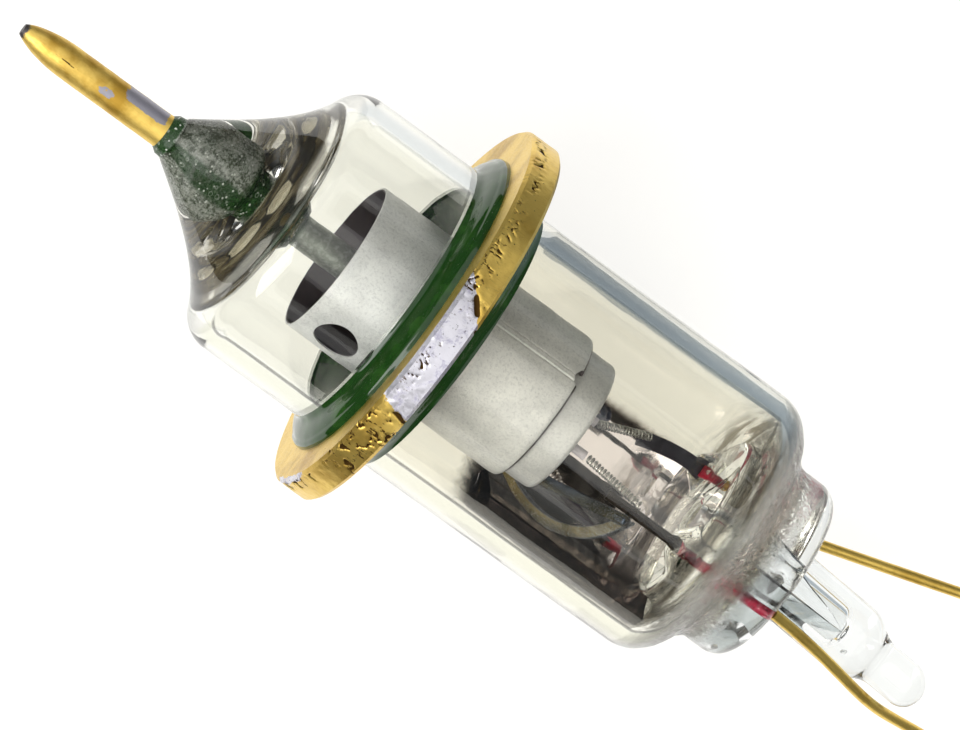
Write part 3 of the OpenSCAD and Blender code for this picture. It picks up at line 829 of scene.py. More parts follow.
def build_bead(glass, seals):
    """The green bead: a coat on the rod, a mottled belly in the cone and a ragged collar at the tip."""
    low, bore, end = mm(glass.ceiling) - 0.15, 0.66, 13.29
    outline = [(bore, low), (0.86, low)]
    outline += curve((0.86, 8), (0.9, 8.5), (1.36, 8.3), (1.36, 9), 10)
    outline += curve((1.36, 11), (1.36, 11.6), (0.98, 12), (0.93, 12.6), 8)
    outline += [(1.01, 12.76), (0.97, 13.05), (0.8, end), (bore, end)]
    points, faces = turned(dense(outline, 0.08), 160, closed=True)
    away, angle = from_axis(points)
    height = points[:, 2]
    lumps = 0.035 * wobble(points, 1.3) + 0.02 * wobble(points, 4)
    # The belly sags on its low side.
    low_side = near(angle, -84, 20, 70) * between(height, 8.6, 9.6) * between(height, 12.2, 10.8)
    points = pushed(points, np.where(away > 0.75, lumps - 0.03 + 0.36 * low_side, 0))
    make_piece("bead", (points, faces), bead_finish(seals), "green_glass", "pin_bead")


def build_top_glass(glass, seals, finish):
    """The clear top: one blown piece, solid in the cone and hollow in the cylinder."""
    radius, inner, ceiling = mm(glass.radius), mm(glass.radius - glass.wall), mm(glass.ceiling)
    tip, foot = mm(glass.cone_tip), mm(seals.upper_height) - SEAL_LAP
    turn, corner, high, join = 1.4, 0.7, ceiling + 0.75, math.radians(65)
    shoulder = (radius - turn, 6.58)
    cone_end = (shoulder[0] + turn * math.cos(join), shoulder[1] + turn * math.sin(join))
    handle = (cone_end[0] - 2.2 * math.sin(join), cone_end[1] + 2.2 * math.cos(join))
    # Outside: the cone, its shoulder and the cylinder. Inside: the cylinder and the chamber's domed ceiling.
    outline = [(0, tip - 0.01)] + curve((1.03, tip), (1.89, 11.52), handle, cone_end, 40)
    outline += arc(shoulder, turn, 60, 0, 16) + [(radius, foot), (inner, foot)]
    outline += arc((inner - corner, high - corner), corner, 0, 78, 12)
    outline += curve((4.75, high + 0.02), (3.8, high + 0.75), (1.95, high + 0.92), (1.25, high - 0.1), 24)
    outline += [(0.95, ceiling - 0.2), (0, ceiling - 0.2)]
    points, faces = turned(dense(outline, 0.35))
    drift = 0.012 * wobble(points, 0.35, 4) - 0.012
    points = pushed(points, drift * between(points[:, 2], 2.0, 2.6))
    make_piece("top_glass", (points, faces), finish, "clear_glass", "top_glass", crease=55)


def build_streaks(glass):
    """A thin brown layer in the thick glass just above the dome of the chamber, with gaps that carry painted
    highlights.
    """
    high, thick = mm(glass.ceiling) + 0.81, 0.02
    top = curve((4.85, high), (3.85, high + 0.85), (2.0, high + 1.0), (1.22, high - 0.02), 44)
    back = [(r, z + thick) for r, z in reversed(top)]
    points, faces = turned(top + back, 300, closed=True)
    away, angle = from_axis(points)
    # The gaps are ellipses in two rings. The finish makes them ragged and paints a cream highlight in their
    # middles.
    draw = np.random.default_rng(7)
    painted_glow_gap = np.zeros(len(points))
    for row, (radius, count) in enumerate(((2.1, 6), (3.5, 7))):
        for k in range(count):
            middle = 360 / count * (k + 0.5 * row) + draw.uniform(-16, 16)
            off = np.radians((angle - middle + 180) % 360 - 180) * away
            long, wide = draw.uniform(0.45, 1.0), draw.uniform(0.28, 0.48)
            gap = np.hypot(off / long, (away - radius - draw.uniform(-0.15, 0.15)) / wide)
            painted_glow_gap = np.maximum(painted_glow_gap, between(gap, 1.5, 0.6))
    make_piece(
        "cone_streaks", (points, faces), streak_finish(), "clear_glass", crease=60, masks={"painted_glow_gap": painted_glow_gap}
    )


def build_seals(glass, seals, ring):
    """The two rings of green glass that join the clear glass to the metal."""
    radius, inner = mm(glass.radius), mm(glass.radius - glass.wall)
    face, web, thin = mm(ring.thickness) / 2, mm(ring.web_radius), mm(ring.web_thickness) / 2
    top, flare = mm(seals.upper_height), mm(seals.upper_radius)
    # The upper seal flares out to a lip on the rim, and is rounded inside down to the web.
    upper = curve((radius + 0.01, top), (radius + 0.03, 1.35), (6.75, 1.45), (flare - 0.25, 1.12), 14)
    upper += curve((flare - 0.23, 1.1), (flare, 1.04), (flare, 0.9), (flare, face), 6)
    upper += [(web, face), (web, thin)] + curve((4.45, thin), (4.75, 1), (inner, 1.0), (inner, top), 12)
    end, lip = -mm(seals.lower_height), mm(seals.lower_radius)
    # The lower seal is a short lip under the rim.
    lower = curve((radius + 0.01, end), (radius + 0.03, -1.5), (6.6, -1.4), (lip - 0.1, -1.14), 10)
    lower += curve((lip - 0.08, -1.1), (lip, -1.05), (lip, -0.95), (lip, -face), 5)
    lower += [(web, -face), (inner - 0.1, -1.2), (inner, end)]
    finish = green_glass_finish(seals)
    for name, outline, scale, shift in (("upper_seal", upper, 1.4, 0.0), ("lower_seal", lower, 1.2, 9)):
        points, faces = turned(dense(outline, 0.12), 300, closed=True)
        away, _ = from_axis(points)
        outside = between(away, radius - 0.1, radius + 0.1) * between(np.abs(points[:, 2]), face, face + 0.1)
        points = pushed(points, (0.02 * wobble(points * (1, 1, 2), scale, shift) - 0.012) * outside)
        make_piece(name, (points, faces), finish, "green_glass", name, crease=50)


def build_shields(shields, ring):
    """The upper shield with its hole, and the lower skirt with its lap seam and broken edge."""
    sheet, radius, thin = mm(shields.sheet), mm(shields.radius), mm(ring.web_thickness) / 2
    foot, mouth, soft = 4.2, mm(shields.mouth), 0.02
    # The shield's inner face gets painted shade.
    nickel = nickel_finish("shield nickel", shields, inside=radius - sheet / 2)
    # The upper shield stands on a flat foot and has a hole drilled through its side.
    outline = [
        (foot, thin), (foot, thin + sheet), (radius, thin + sheet), (radius, mouth - soft),
        (radius - soft, mouth), (radius - sheet + soft, mouth), (radius - sheet, mouth - soft),
        (radius - sheet, thin),
    ]
    points, faces = turned(dense(outline, 0.3), 256, closed=True)
    points = pushed(points, 0.008 * wobble(points, 0.8, 6) - 0.008)
    shield = make_piece("upper_shield", (points, faces), nickel, "nickel", "upper_shield")
    turn, height = math.radians(SHIELD_HOLE_ANGLE), Vector((0, 0, mm(shields.hole_height)))
    out = Vector((math.cos(turn), math.sin(turn), 0))
    drill = [out * (radius - 1) + height, out * (radius + 1) + height]
    cut(shield, swept(drill, circle(mm(shields.hole_radius), 64)))
    # The lower skirt has a rounded edge that turns in to the heater can.
    edge, skirt_end, can = 0.35, -mm(shields.skirt_end), mm(shields.can_radius)
    rounding = (radius - edge, skirt_end + edge)
    outline = [(foot, -thin), (foot, -thin - sheet), (radius, -thin - sheet)]
    outline += arc(rounding, edge, 0, -90, 8) + [(can - soft, skirt_end), (can - soft, skirt_end + sheet)]
    outline += arc(rounding, edge - sheet, -90, 0, 8) + [(radius - sheet, -thin)]
    points, faces = turned(dense(outline, 0.2), 720, closed=True)
    away, angle = from_axis(points)
    # Its sheet overlaps itself in a seam, with a groove on each side.
    lap = between(angle, 28.5, 29.2) * between(angle, 33.5, 32.8)
    groove = near(angle, 28.6, 0.2, 0.7) + near(angle, 33.4, 0.2, 0.7)
    outside = between(away, radius - 0.06, radius - 0.01) * between(-points[:, 2], thin + 0.3, thin + 0.4)
    points = pushed(points, outside * (0.02 * lap - 0.05 * groove - 0.02))
    skirt = make_piece("lower_skirt", (points, faces), nickel, "nickel", "lower_skirt")
    cut(skirt, notch_shape(radius, skirt_end))


def notch_shape(radius, edge):
    """A ragged lump that breaks a piece out of the skirt's edge beside its seam."""
    turn = math.radians(32.5)
    points, faces = turned(dense(arc((0, 0), 0.42, -90, 90, 12), 0.1), 24)
    points = points * (1.3, 0.95, 0.8) * (1 + 0.22 * wobble(points, 3))[:, None]
    points += (radius * math.cos(turn), radius * math.sin(turn), edge + 0.02)
    return points, faces


def build_can(shields):
    """The heater can: a drawn cup with a turned-in end."""
    sheet, radius, end = mm(shields.sheet), mm(shields.can_radius), -mm(shields.can_end)
    edge, hole, top = 0.25, 1.5, -3.2
    outline = [(radius - sheet, top), (radius, top)]
    outline += arc((radius - edge, end + edge), edge, 0, -90, 10) + [(hole, end), (hole, end + sheet)]
    outline += arc((radius - edge, end + edge), edge - sheet, -90, 0, 10)
    points, faces = turned(dense(outline, 0.25), 300, closed=True)
    points = pushed(points, 0.006 * wobble(points, 0.9, 8) - 0.006)
    nickel = nickel_finish("can nickel", shields, 0.2)
    make_piece("heater_can", (points, faces), nickel, "nickel", "heater_can")


def dress_inside(shields):
    """The anode disc and the cathode cup stay as they are made, with finishes of their own."""
    cup, disc = nickel_finish("cathode nickel", shields, 0.1), strip_finish("anode plate", (0.2, 0.2, 0.2))
    for node, finish in (("anode_disc", disc), ("cathode_cup", cup)):
        materials = frame["nodes"][node].data.materials
        materials.clear()
        materials.append(finish)


def coil_shape(heater, start, end, turns):
    """A close-wound helix of bare wire from start to end."""
    along = (end - start).normalized()
    side = along.orthogonal().normalized()
    other = along.cross(side)
    radius, steps = mm(heater.coil_radius), turns * 16
    path = []
    for k in range(steps + 1):
        turn = 2 * math.pi * turns * k / steps
        path.append(start.lerp(end, k / steps) + radius * (side * math.cos(turn) + other * math.sin(turn)))
    return swept(path, circle(mm(heater.wire_radius), 8))


def build_heater(heater):
    """The coated hairpin and its two bare coiled tails."""
    leg_a, leg_b = Vector((-0.6, 0.75, -8.95)), Vector((0.6, -0.6, -9.15))
    bend, rise, count = -0.6, Vector((0, 0, 0.25)), 33
    path = [leg_a + rise * k for k in range(count)]
    path += [Vector((leg_a.x, leg_a.y, bend)), Vector((leg_b.x, leg_b.y, bend))]
    path += [leg_b + rise * k for k in range(count, -1, -1)]
    legs = wire(path, mm(heater.coat_radius), 20, lambda points: 0.96 + 0.04 * wobble(points, 5))
    make_piece("heater_legs", legs, coat_finish(heater), "alumina", "heater")
    finish = wire_finish(heater)
    for name, leg, tail, gap, turns in (
        ("heater_coil_a", leg_a, Vector((-1.757, 1.6, -11.4)), 0.035, 17),
        ("heater_coil_b", leg_b, Vector((2.703, -0.881, -11.9)), 0.137, 18),
    ):
        shape = coil_shape(heater, leg - Vector((0, 0, gap)), tail, turns)
        make_piece(name, shape, finish, "dark_metal", name)


def plate(width, thickness):
    """Section of a rolled strip with softened edges."""
    w, t, soft = width / 2, thickness / 2, thickness * 0.3
    right = [(w, -t + soft), (w, t - soft), (w - soft, t)]
    return right + [(soft - w, t), (-w, t - soft), (-w, soft - t), (soft - w, -t), (w - soft, -t)]


def build_strips(heater, shields):
    """The bowed ribbon and the straight post that carry the heater's tails."""
    sheet, bow, steps = mm(shields.sheet), 11.5, 30
    foot = on_pitch(heater, LEAD_A_ANGLE, -14.3)
    back = Vector((-1, 0, 0.19)).normalized()
    lift = (Vector((0.19, 0, 1)) - back * back.dot(Vector((0.19, 0, 1)))).normalized()
    across = back.cross(lift)
    # The ribbon bends along part of a circle.
    turns = [math.radians(17.6 * k / steps - 0.6) for k in range(steps + 1)]
    path = [foot + lift * (bow * math.sin(turn)) - across * (bow * (1 - math.cos(turn))) for turn in turns]
    ribbon = swept(path, plate(0.7, sheet), hint=back)
    finish = strip_finish("dark strip", heater.strip)
    make_piece("heater_ribbon", ribbon, finish, "dark_metal", "heater_ribbon_a")
    foot, tall = on_pitch(heater, LEAD_B_ANGLE, -14.35), Vector((0, 0, 3.95))
    post = swept([foot + tall * k / 8 for k in range(9)], plate(0.46, sheet), hint=(1, 0.35, 0))
    finish = strip_finish("post strip", (0.05, 0.042, 0.036), 0.3)
    make_piece("heater_post", post, finish, "dark_metal", "heater_post_b")


def build_getter(getter):
    """The getter's channel, bent to a bow, and the strap welded across its ends."""
    foot, far = Vector((2.85, -1.68, -11.9)), Vector((-3.7, -3, -6.95))
    chord = far - foot
    up = chord.cross(Vector((-0.35, -1, 0))).normalized()
    side = up.cross(chord).normalized()
    place = Matrix.Translation((foot + far) / 2)
    place = place @ Matrix((side.cross(up), side, up)).transposed().to_4x4()
    half, rise, width, deep = chord.length / 2, mm(getter.rise), mm(getter.width), mm(getter.depth)
    wall, soft, sheet, steps = 0.09, 0.03, 0.12, 90
    # The channel is carried along the circle that passes through both ends of the strap.
    bow = (half**2 + rise**2) / (2 * rise)
    reach = math.degrees(math.asin(half / bow))
    section = [
        (soft, 0), (width - soft, 0), (width, -soft), (width, -deep), (width - wall, -deep),
        (width - wall, -wall), (wall, -wall), (wall, -deep), (0, -deep), (0, -soft),
    ]
    loops = []
    for k in range(steps + 1):
        turn = math.radians(90 - reach + 2 * reach * k / steps)
        way, middle = Vector((math.cos(turn), math.sin(turn), 0)), Vector((0, rise - bow, 0))
        loops.append([place @ (middle + way * (bow - width + u) + Vector((0, 0, v))) for u, v in section])
    bright = getter_finish("getter channel", (0.5, 0.54, 0.62))
    make_piece("getter_channel", lofted(loops), bright, "dark_metal", "getter_channel", crease=30)
    # The strap runs across the channel's ends, with a lump of weld at its foot.
    path = [place @ Vector((x, 0, sheet / 2)) for x in np.linspace(half, 0.03 - half, 24)]
    weld = [place @ Vector((x, 0.02, sheet)) for x in np.linspace(0.25 - half, 0.75 - half, 9)]
    blob, blob_faces = swept(weld, circle(0.13, 12))
    blob = blob + 0.05 * np.stack([wobble(blob, 4, k) for k in range(3)], axis=1)
    strap = joined(swept(path, plate(width, sheet), hint=up), (blob, blob_faces))
    dull = getter_finish("getter strap", (0.25, 0.28, 0.34))
    make_piece("getter_strap", strap, dull, "dark_metal", "getter_strap", crease=30)


def build_mirror(getter, glass):
    """The film of metal that the getter left on the bulb's inner wall, from one angle round to another."""
    inner, groove = mm(glass.radius - glass.wall), mm(glass.shoulder_arc - glass.wall)
    first, last, gap = 150, 277, 0.012
    # The film lies on the wall and round part of the shoulder, and thins out at its edges.
    outer = [(inner - gap, -5.2)] + arc((inner - groove, -mm(glass.shoulder)), groove - gap, 0, -62, 14)
    outer = dense(outer, 0.18)
    floor = -mm(glass.floor)
    rows = outer + [(r - gap, z + (0.006 if z < floor else 0)) for r, z in reversed(outer)]
    steps = round((last - first) * 1.3)
    turns = [math.radians(first + (last - first) * k / steps) for k in range(steps + 1)]
    points, faces = lofted([[(r * math.cos(a), r * math.sin(a), z) for r, z in rows] for a in turns])
    angle = from_axis(points)[1] % 360
    cover = between(angle, first + 6, first + 24) * between(angle, last - 1, last - 11)
    cover = cover * between(points[:, 2], -5.3, -8.2)
    finish = mirror_finish(getter)
    make_piece("getter_mirror", (points, faces), finish, "dark_metal", crease=60, masks={"cover": cover})


def build_bulb(glass, seals, heater, finish):
    """The bulb, the pressed stem and the pumping tube: blown and fused into one piece of clear glass."""
    radius, inner = mm(glass.radius), mm(glass.radius - glass.wall)
    floor, end, button, bore = -mm(glass.floor), -mm(glass.stem_end), mm(glass.button_radius), mm(glass.bore)
    shoulder, turn, groove = -mm(glass.shoulder), mm(glass.shoulder_arc), mm(glass.shoulder_arc - glass.wall)
    top = -mm(seals.lower_height) + SEAL_LAP
    wide, narrow, tip, soft = 1.62, 1.0, end - 7.9, 0.25
    # Outside: pumping tube, button, fused seam, shoulder and cylinder.
    outline = arc((0, tip + narrow), narrow, -90, 0, 14)
    outline += curve((narrow, tip + 2.1), (narrow, tip + 3), (wide, end - 4.9), (wide, end - 4.0), 14)
    outline += curve((wide, end - 0.5), (wide, end - 0.1), (wide + 0.1, end), (wide + 0.5, end), 8)
    outline += arc((button - 1, end + 1), 1, -90, 0, 12)
    outline += curve((button, -17.5), (button, -17.1), (4.5, -16.75), (5.1, -16.45), 8)
    outline += arc((radius - turn, shoulder), turn, -64, 0, 18) + [(radius, top), (inner, top)]
    # Inside: shoulder, the groove beside the stem, the stem's floor and the pumping hole.
    outline += arc((inner - groove, shoulder), groove, 0, -74, 14)
    bottom = outline[-1]
    outline += curve(bottom, (bottom[0] - 0.5, bottom[1] - 0.1), (3.95, -15.3), (3.9, -14.9), 8)[1:]
    outline += curve((3.9, -14.9), (3.88, -14.5), (3.75, floor), (3.4, floor), 6)[1:]
    outline += [(bore + soft, floor)] + arc((bore + soft, floor - soft), soft, 90, 180, 5)
    outline += arc((0, end - 3.6 + bore), bore, 0, -90, 10)
    outline = dense(outline, 0.16, lambda r, z: z < -13.3)
    points, faces = turned(dense(outline, 0.7), 300)
    away, angle = from_axis(points)
    height = points[:, 2]
    # The floor rises to a mound round each wire.
    for lead_angle, rise in ((LEAD_A_ANGLE, 0.78), (LEAD_B_ANGLE, 0.72)):
        middle = on_pitch(heater, lead_angle, 0)
        gap = np.hypot(points[:, 0] - middle.x, points[:, 1] - middle.y)
        on_floor = (height > floor - 0.8) & (height < floor + 0.1) & (away < 4.05) & (away > bore + 0.1)
        height += np.where(on_floor, rise * between(gap, 1.35, 0.25), 0)
    # The fused seam is rough, and the blown wall drifts a little from round.
    seam = between(height, BUTTON_TOP - 0.5, BUTTON_TOP) * between(height, -15.5, -16.0)
    seam = seam * (away > button - 0.6)
    rough_seam = 0.05 * wobble(points, 2.4, 1) + 0.03 * wobble(points, 5.5, 2) - 0.05
    drift = (0.014 * wobble(points, 0.32, 8) - 0.014) * between(-height, 2.2, 3.0) * (away > 1.2)
    # Seeds fill the stem and its seam. The groove beside the stem is burnt brown in a band and at one side.
    hollow = (away > 3.8) & (away < inner + 0.02)
    milky = 0.2 * between(height, -15.0, -15.6) * between(height, -18.2, -17.6) * (away > 2.4)
    burnt = between(height, -13.7, -14.5) * between(height, -15.75, -15.3)
    burnt = burnt * between(np.abs(angle + 16), 12, 34)
    band = 0.9 * between(height, -13.9, -14.3) * between(height, -15.0, -14.7)
    masks = {"milky": np.maximum(milky, seam), "burnt": np.maximum(burnt, band) * hollow}
    points = pushed(points, drift + seam * rough_seam)
    points[:, 1] -= PUMP_LEAN * np.maximum(end - points[:, 2], 0)
    make_piece(
        "bulb", (points, faces), finish, "clear_glass", "bulb_glass", "button_stem", "exhaust_tip", crease=50,
        masks=masks, hollows=bubble_shells(glass, heater),
    )


def bubble_shells(glass, heater):
    """Small round bubbles in the stem: rings of them in the fused seam, and a cluster by each wire."""
    draw = np.random.default_rng(52)
    shells = []

    def bubble(x, y, z, size):
        ball = bmesh.new()
        bmesh.ops.create_icosphere(ball, subdivisions=2, radius=size)
        points = np.array([v.co for v in ball.verts]) * (1, 1, draw.uniform(0.8, 1.3)) + (x, y, z)
        shells.append((points, [tuple(v.index for v in face.verts) for face in ball.faces]))
        ball.free()

    def scatter(count, middle, spread, heights, sizes):
        for _ in range(count):
            turn, away = draw.uniform(0, 2 * math.pi), draw.uniform(*spread)
            x, y = middle[0] + away * math.cos(turn), middle[1] + away * math.sin(turn)
            bubble(x, y, draw.uniform(*heights), draw.uniform(*sizes))

    scatter(110, (0, 0), (3.5, 4.0), (-17.5, -16.0), (0.04, 0.11))
    scatter(70, (0, 0), (1.2, 3.7), (-17.4, -15.0), (0.03, 0.09))
    for angle in (LEAD_A_ANGLE, LEAD_B_ANGLE):
        scatter(9, on_pitch(heater, angle, 0), (0.42, 0.62), (-15.0, -14.3), (0.05, 0.1))
    for _ in range(5):
        bubble(draw.uniform(-0.3, 0.3), -0.68, -mm(glass.stem_end) - 3.95 + draw.uniform(-0.1, 0.1), 0.06)
    return joined(*shells)


def build_seal_wires(heater, leads, glass):
    """The two red copper wires in the stem's glass."""
    red, end = red_finish(heater), -mm(glass.stem_end)
    for name, angle in (("seal_wire_a", LEAD_A_ANGLE), ("seal_wire_b", LEAD_B_ANGLE)):
        foot, tall = on_pitch(heater, angle, end + 0.01), Vector((0, 0, -14.32 - end))
        path = [foot + tall * k / 60 for k in range(61)]
        shape = wire(path, mm(leads.radius), 24, lambda points: 0.88 + 0.12 * wobble(points, 2.2, 3))
        make_piece(name, shape, red, "copper_seal", name)


def lead_path(leads, start, heading, slope, turn, rest):
    """Middle line of an outside lead: a slope down to the surface, a bend, a turn and a straight end."""
    radius, bend, steps = leads.radius, leads.bend, 12
    fall = (start.z - radius - bend * (1 - math.cos(slope))) / math.sin(slope)

    def ahead(course, dip):
        return Vector((math.cos(course) * math.cos(dip), math.sin(course) * math.cos(dip), -math.sin(dip)))

    path = [start + ahead(heading, slope) * (fall * k / SLOPE_STEPS) for k in range(SLOPE_STEPS + 1)]
    for k in range(steps):
        path.append(path[-1] + ahead(heading, slope * (1 - (k + 0.5) / steps)) * (bend * slope / steps))
    path.append(path[-1] + ahead(heading, 0) * leads.landing)
    for k in range(steps):
        path.append(path[-1] + ahead(heading + turn * (k + 0.5) / steps, 0) * (bend * abs(turn) / steps))
    place = path[-1]
    return path + [place + ahead(heading + turn, 0) * (rest * k / steps) for k in range(1, steps + 1)]


def bowed(path, glass, amount):
    """The path with its sloping stretch bowed out from the leaning pumping tube."""
    path = list(path)
    for k in range(SLOPE_STEPS):
        leaning = PUMP_LEAN * (mm(glass.stem_end) + path[k].z)
        aside = Vector((path[k].x, path[k].y - leaning, 0)).normalized()
        path[k] = path[k] + aside * (amount * math.sin(math.pi * k / SLOPE_STEPS) ** 2)
    return path


def build_leads(leads, heater, glass, plating):
    """The two gold-plated leads outside the glass. The first slopes as the tube does."""
    finish, back = gold_finish("lead plating", plating), TUBE.inverted()
    tilt = math.degrees(math.asin(AXIS.z))
    for name, angle, heading, slope, turn, rest, bow in (
        ("lead_a", LEAD_A_ANGLE, 17, tilt, 20, leads.rest_a, 0),
        ("lead_b", LEAD_B_ANGLE, -3, 34, -60, leads.rest_b, 0.44),
    ):
        start = TUBE @ on_pitch(heater, angle, -mm(glass.stem_end))
        path = lead_path(leads, start, math.radians(heading), math.radians(slope), math.radians(turn), rest)
        path = bowed([back @ p for p in path], glass, bow)
        shape = wire(path, mm(leads.radius) - 0.008, 24, lambda points: 1 + 0.03 * wobble(points, 1.5, 4))
        make_piece(name, shape, finish, "gold_plate", name)


def build_floor(stage):
    """A wide pale floor under the tube."""
    f = Finish("pale floor")
    skin = f.paint(f.step(f.clouds(0.02, 3, 0.5), 0.3, 0.7, 0, 0.3), stage.floor, (0.93, 0.93, 0.92))
    relief = f.bump(f.clouds(1.2, 3, 0.5), 0.01)
    matt = f.principled(Base_Color=skin, Roughness=0.9, Specular_IOR_Level=0.0, Normal=relief)
    glow = f.add("ShaderNodeEmission", {"Color": skin, "Strength": 1.15})
    size, low = 0.9, CAD_BOX[0][2] - 0.00002
    points, faces = turned([(0, 0)] + [(size * (k / 12) ** 1.5, 0) for k in range(1, 13)], 64)
    floor = new_object("floor", new_mesh("floor", (points + (0, 0, low), faces)))
    floor.data.materials.append(f.done(f.add("ShaderNodeMixShader", {0: 0.7, 1: matt, 2: glow})))


def card_finish(name, clouds, low, high, near_colour, far_colour, rough=0.9, shine=0.5):
    """Matt card whose colour drifts from one tone to another."""
    f = Finish(name)
    skin = f.paint(f.step(f.clouds(*clouds), low, high), near_colour, far_colour)
    return f.solid(Base_Color=skin, Roughness=rough, Specular_IOR_Level=shine)


def build_cards():
    """Plain cards that only reflections and glass see: on the floor and as a low wall all round the tube, one
    beside it and two small ones above it. Soft light and the camera pass through them."""
    brown = card_finish("black card", (0.035, 4, 0.6), 0.48, 0.62, (0.022, 0.02, 0.018), (0.2, 0.17, 0.125))
    steel = card_finish("steel card", (0.05, 2, 0.5), 0.3, 0.7, (0.25, 0.29, 0.325), (0.33, 0.375, 0.41))
    blue = card_finish("blue card", (0.02, 2, 0.5), 0.3, 0.7, (0.05, 0.058, 0.066), (0.09, 0.1, 0.11))
    dark = card_finish("dark card", (0.03,), 0.3, 0.7, (0.006, 0.006, 0.006), (0.012, 0.011, 0.01), 0.95, 0.1)
    middle = TUBE @ Vector((0, 0, TUBE_MIDDLE))
    size = Matrix.Scale(MM, 4)
    on_floor = Matrix.Translation((middle.x, 0, 0)) @ size
    lift = 0.3
    side_card = [(-6, 8.5, lift), (24, 8.5, lift), (24, 40, lift), (-6, 40, lift)], [(0, 1, 2, 3)]
    cards = [
        ("card_floor", turned([(37, lift), (62, lift)], 96), on_floor, brown),
        ("card_side", side_card, size, steel),
        ("card_wall", turned([(62, lift), (63, 24), (64, 48)], 96), on_floor, blue),
    ]
    for name, side, radius in (("card_far", 1, 24), ("card_near", -1, 22)):
        way = Vector((0.33, 0.58 * side, 0.74)).normalized()
        facing = way.to_track_quat("Z", "Y").to_matrix().to_4x4()
        place = Matrix.Translation(middle + way * 0.1) @ facing @ size
        cards.append((name, turned([(0, 0), (12, 0), (radius, 0)], 96), place, dark))
    for name, shape, place, finish in cards:
        card = new_object(name, new_mesh(name, shape))
        card.data.transform(place)
        card.data.materials.append(finish)
        # Soft light and the camera pass through a card.
        card.visible_camera = False
        card.visible_diffuse = False
        card.visible_shadow = False


def build_light(stage):
    """White light from all round and a soft key light."""
    world = bpy.data.worlds.new("studio")
    bpy.context.scene.world = world
    world.use_nodes = True
    tree = world.node_tree
    tree.nodes.clear()
    sky = tree.nodes.new("ShaderNodeBackground")
    sky.inputs["Color"].default_value = (*stage.sky, 1)
    out = tree.nodes.new("ShaderNodeOutputWorld")
    tree.links.new(sky.outputs[0], out.inputs["Surface"])
    lamp = bpy.data.lights.new("key", "AREA")
    lamp.shape = "RECTANGLE"
    lamp.size, lamp.size_y = 0.22, 0.3
    lamp.energy = 0.9
    key = new_object("key", lamp)
    key.location = (-0.12, -0.2, 0.3)
    key.rotation_euler = (Vector(key.location) - RING_MIDDLE).to_track_quat("Z", "Y").to_euler()


def build_camera(stage):
    """Looks down on the tube. The picture's right runs along the tube, turned by the photographed angle."""
    turn, scale, picture_width, sensor = math.radians(36.3), 23.9 / MM, 960, 36
    aim = TUBE @ Vector((0, -0.13, TUBE_MIDDLE))
    right = Vector((math.cos(turn), math.sin(turn), 0))
    back = Vector((-math.sin(math.radians(0.4)), math.sin(math.radians(1.5)), 1)).normalized()
    up = back.cross(right).normalized()
    lens = bpy.data.cameras.new("camera")
    lens.sensor_width = sensor
    lens.lens = sensor * scale * stage.distance / picture_width
    lens.clip_start, lens.clip_end = 0.005, 10
    camera = new_object("camera", lens)
    facing = Matrix((up.cross(back), up, back)).transposed().to_4x4()
    camera.matrix_world = Matrix.Translation(aim + back * stage.distance) @ facing
    scene = bpy.context.scene
    scene.camera = camera
    scene.view_settings.view_transform = "Standard"
    # Light crosses the walls, the stem and its bubbles one after another, which takes many bounces.
    scene.cycles.max_bounces = 12
    scene.cycles.glossy_bounces = 7
    scene.cycles.transmission_bounces = 11


class TUBE_OT_stage(bpy.types.Operator):
    """Sets the floor, the light and the camera"""

    bl_idname = "tube.stage"
    bl_label = "Floor, light and camera"

    def execute(self, context):
        build_floor(context.scene.tube_stage)
        build_cards()
        build_light(context.scene.tube_stage)
        build_camera(context.scene.tube_stage)
        return {"FINISHED"}


class TUBE_OT_ring(bpy.types.Operator):
    """Builds the worn gold ring"""

    bl_idname = "tube.ring"
    bl_label = "Cathode ring"

    def execute(self, context):
        build_ring(context.scene.tube_ring, context.scene.tube_plating)
        return {"FINISHED"}


class TUBE_OT_pin(bpy.types.Operator):
    """Builds the anode pin and its rod"""

    bl_idname = "tube.pin"
    bl_label = "Anode pin"

    def execute(self, context):
        scene = context.scene
        build_pin(scene.tube_pin, scene.tube_plating, scene.tube_seals)
        return {"FINISHED"}


class TUBE_OT_glass(bpy.types.Operator):
    """Builds the clear top with its streaks, the bulb with its stem, and the red wires in it"""

    bl_idname = "tube.glass"
    bl_label = "Clear glass"

    def execute(self, context):
        scene = context.scene
        glass, seals, heater = scene.tube_glass, scene.tube_seals, scene.tube_heater
        build_top_glass(glass, seals, clear_glass_finish("top glass", glass.tint, glass.edge, 0.45))
        build_streaks(glass)
        finish = clear_glass_finish("bulb glass", glass.bulb_tint, glass.edge, 0.85, fused=True)
        build_bulb(glass, seals, heater, finish)
        build_seal_wires(heater, scene.tube_leads, glass)
        return {"FINISHED"}


class TUBE_OT_seals(bpy.types.Operator):
    """Builds the green seals and the bead"""

    bl_idname = "tube.seals"
    bl_label = "Green seals"

    def execute(self, context):
        scene = context.scene
        build_bead(scene.tube_glass, scene.tube_seals)
        build_seals(scene.tube_glass, scene.tube_seals, scene.tube_ring)
        return {"FINISHED"}


class TUBE_OT_shields(bpy.types.Operator):
    """Builds the nickel shield, skirt and heater can"""

    bl_idname = "tube.shields"
    bl_label = "Nickel shields"

    def execute(self, context):
        scene = context.scene
        build_shields(scene.tube_shields, scene.tube_ring)
        build_can(scene.tube_shields)
        dress_inside(scene.tube_shields)
        return {"FINISHED"}


class TUBE_OT_heater(bpy.types.Operator):
    """Builds the heater, its coils and the strips that carry them"""

    bl_idname = "tube.heater"
    bl_label = "Heater"

    def execute(self, context):
        scene = context.scene
        build_heater(scene.tube_heater)
        build_strips(scene.tube_heater, scene.tube_shields)
        return {"FINISHED"}


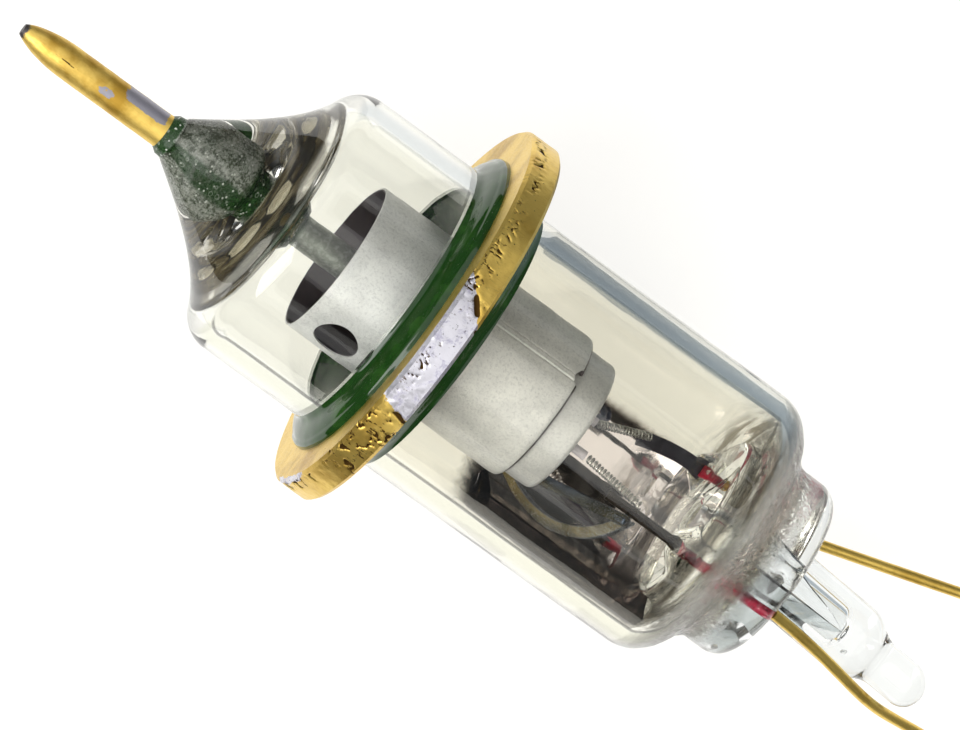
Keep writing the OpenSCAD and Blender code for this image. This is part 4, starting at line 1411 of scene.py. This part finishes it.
class TUBE_OT_getter(bpy.types.Operator):
    """Builds the getter and its mirror"""

    bl_idname = "tube.getter"
    bl_label = "Getter"

    def execute(self, context):
        build_getter(context.scene.tube_getter)
        build_mirror(context.scene.tube_getter, context.scene.tube_glass)
        return {"FINISHED"}


class TUBE_OT_leads(bpy.types.Operator):
    """Builds the two outside leads"""

    bl_idname = "tube.leads"
    bl_label = "Leads"

    def execute(self, context):
        scene = context.scene
        build_leads(scene.tube_leads, scene.tube_heater, scene.tube_glass, scene.tube_plating)
        return {"FINISHED"}


class TUBE_PT_panel(bpy.types.Panel):
    """Lists the tube's pieces"""

    bl_label = "Diode tube"
    bl_idname = "TUBE_PT_panel"
    bl_space_type = "VIEW_3D"
    bl_region_type = "UI"
    bl_category = "Diode tube"

    def draw(self, context):
        for operator in OPERATORS:
            self.layout.operator(operator.bl_idname)
        for name in SETTINGS:
            box = self.layout.box()
            settings = getattr(context.scene, name)
            for field in settings.bl_rna.properties:
                if field.identifier not in ("rna_type", "name"):
                    box.prop(settings, field.identifier)


OPERATORS = (
    TUBE_OT_stage, TUBE_OT_ring, TUBE_OT_seals, TUBE_OT_glass, TUBE_OT_pin, TUBE_OT_shields, TUBE_OT_heater,
    TUBE_OT_getter, TUBE_OT_leads,
)
SETTINGS = {
    "tube_stage": StageSettings,
    "tube_ring": RingSettings,
    "tube_plating": PlatingSettings,
    "tube_seals": SealSettings,
    "tube_glass": GlassSettings,
    "tube_pin": PinSettings,
    "tube_shields": ShieldSettings,
    "tube_heater": HeaterSettings,
    "tube_getter": GetterSettings,
    "tube_leads": LeadSettings,
}


def register():
    for group in (*SETTINGS.values(), *OPERATORS, TUBE_PT_panel):
        bpy.utils.register_class(group)
    for name, group in SETTINGS.items():
        setattr(bpy.types.Scene, name, bpy.props.PointerProperty(type=group))


def unregister():
    for name in SETTINGS:
        delattr(bpy.types.Scene, name)
    for group in reversed((*SETTINGS.values(), *OPERATORS, TUBE_PT_panel)):
        bpy.utils.unregister_class(group)


def main():
    register()
    bpy.ops.tube.stage()
    bpy.ops.tube.ring()
    bpy.ops.tube.seals()
    bpy.ops.tube.glass()
    bpy.ops.tube.pin()
    bpy.ops.tube.shields()
    bpy.ops.tube.heater()
    bpy.ops.tube.getter()
    bpy.ops.tube.leads()


if __name__ == "__main__":
    main()
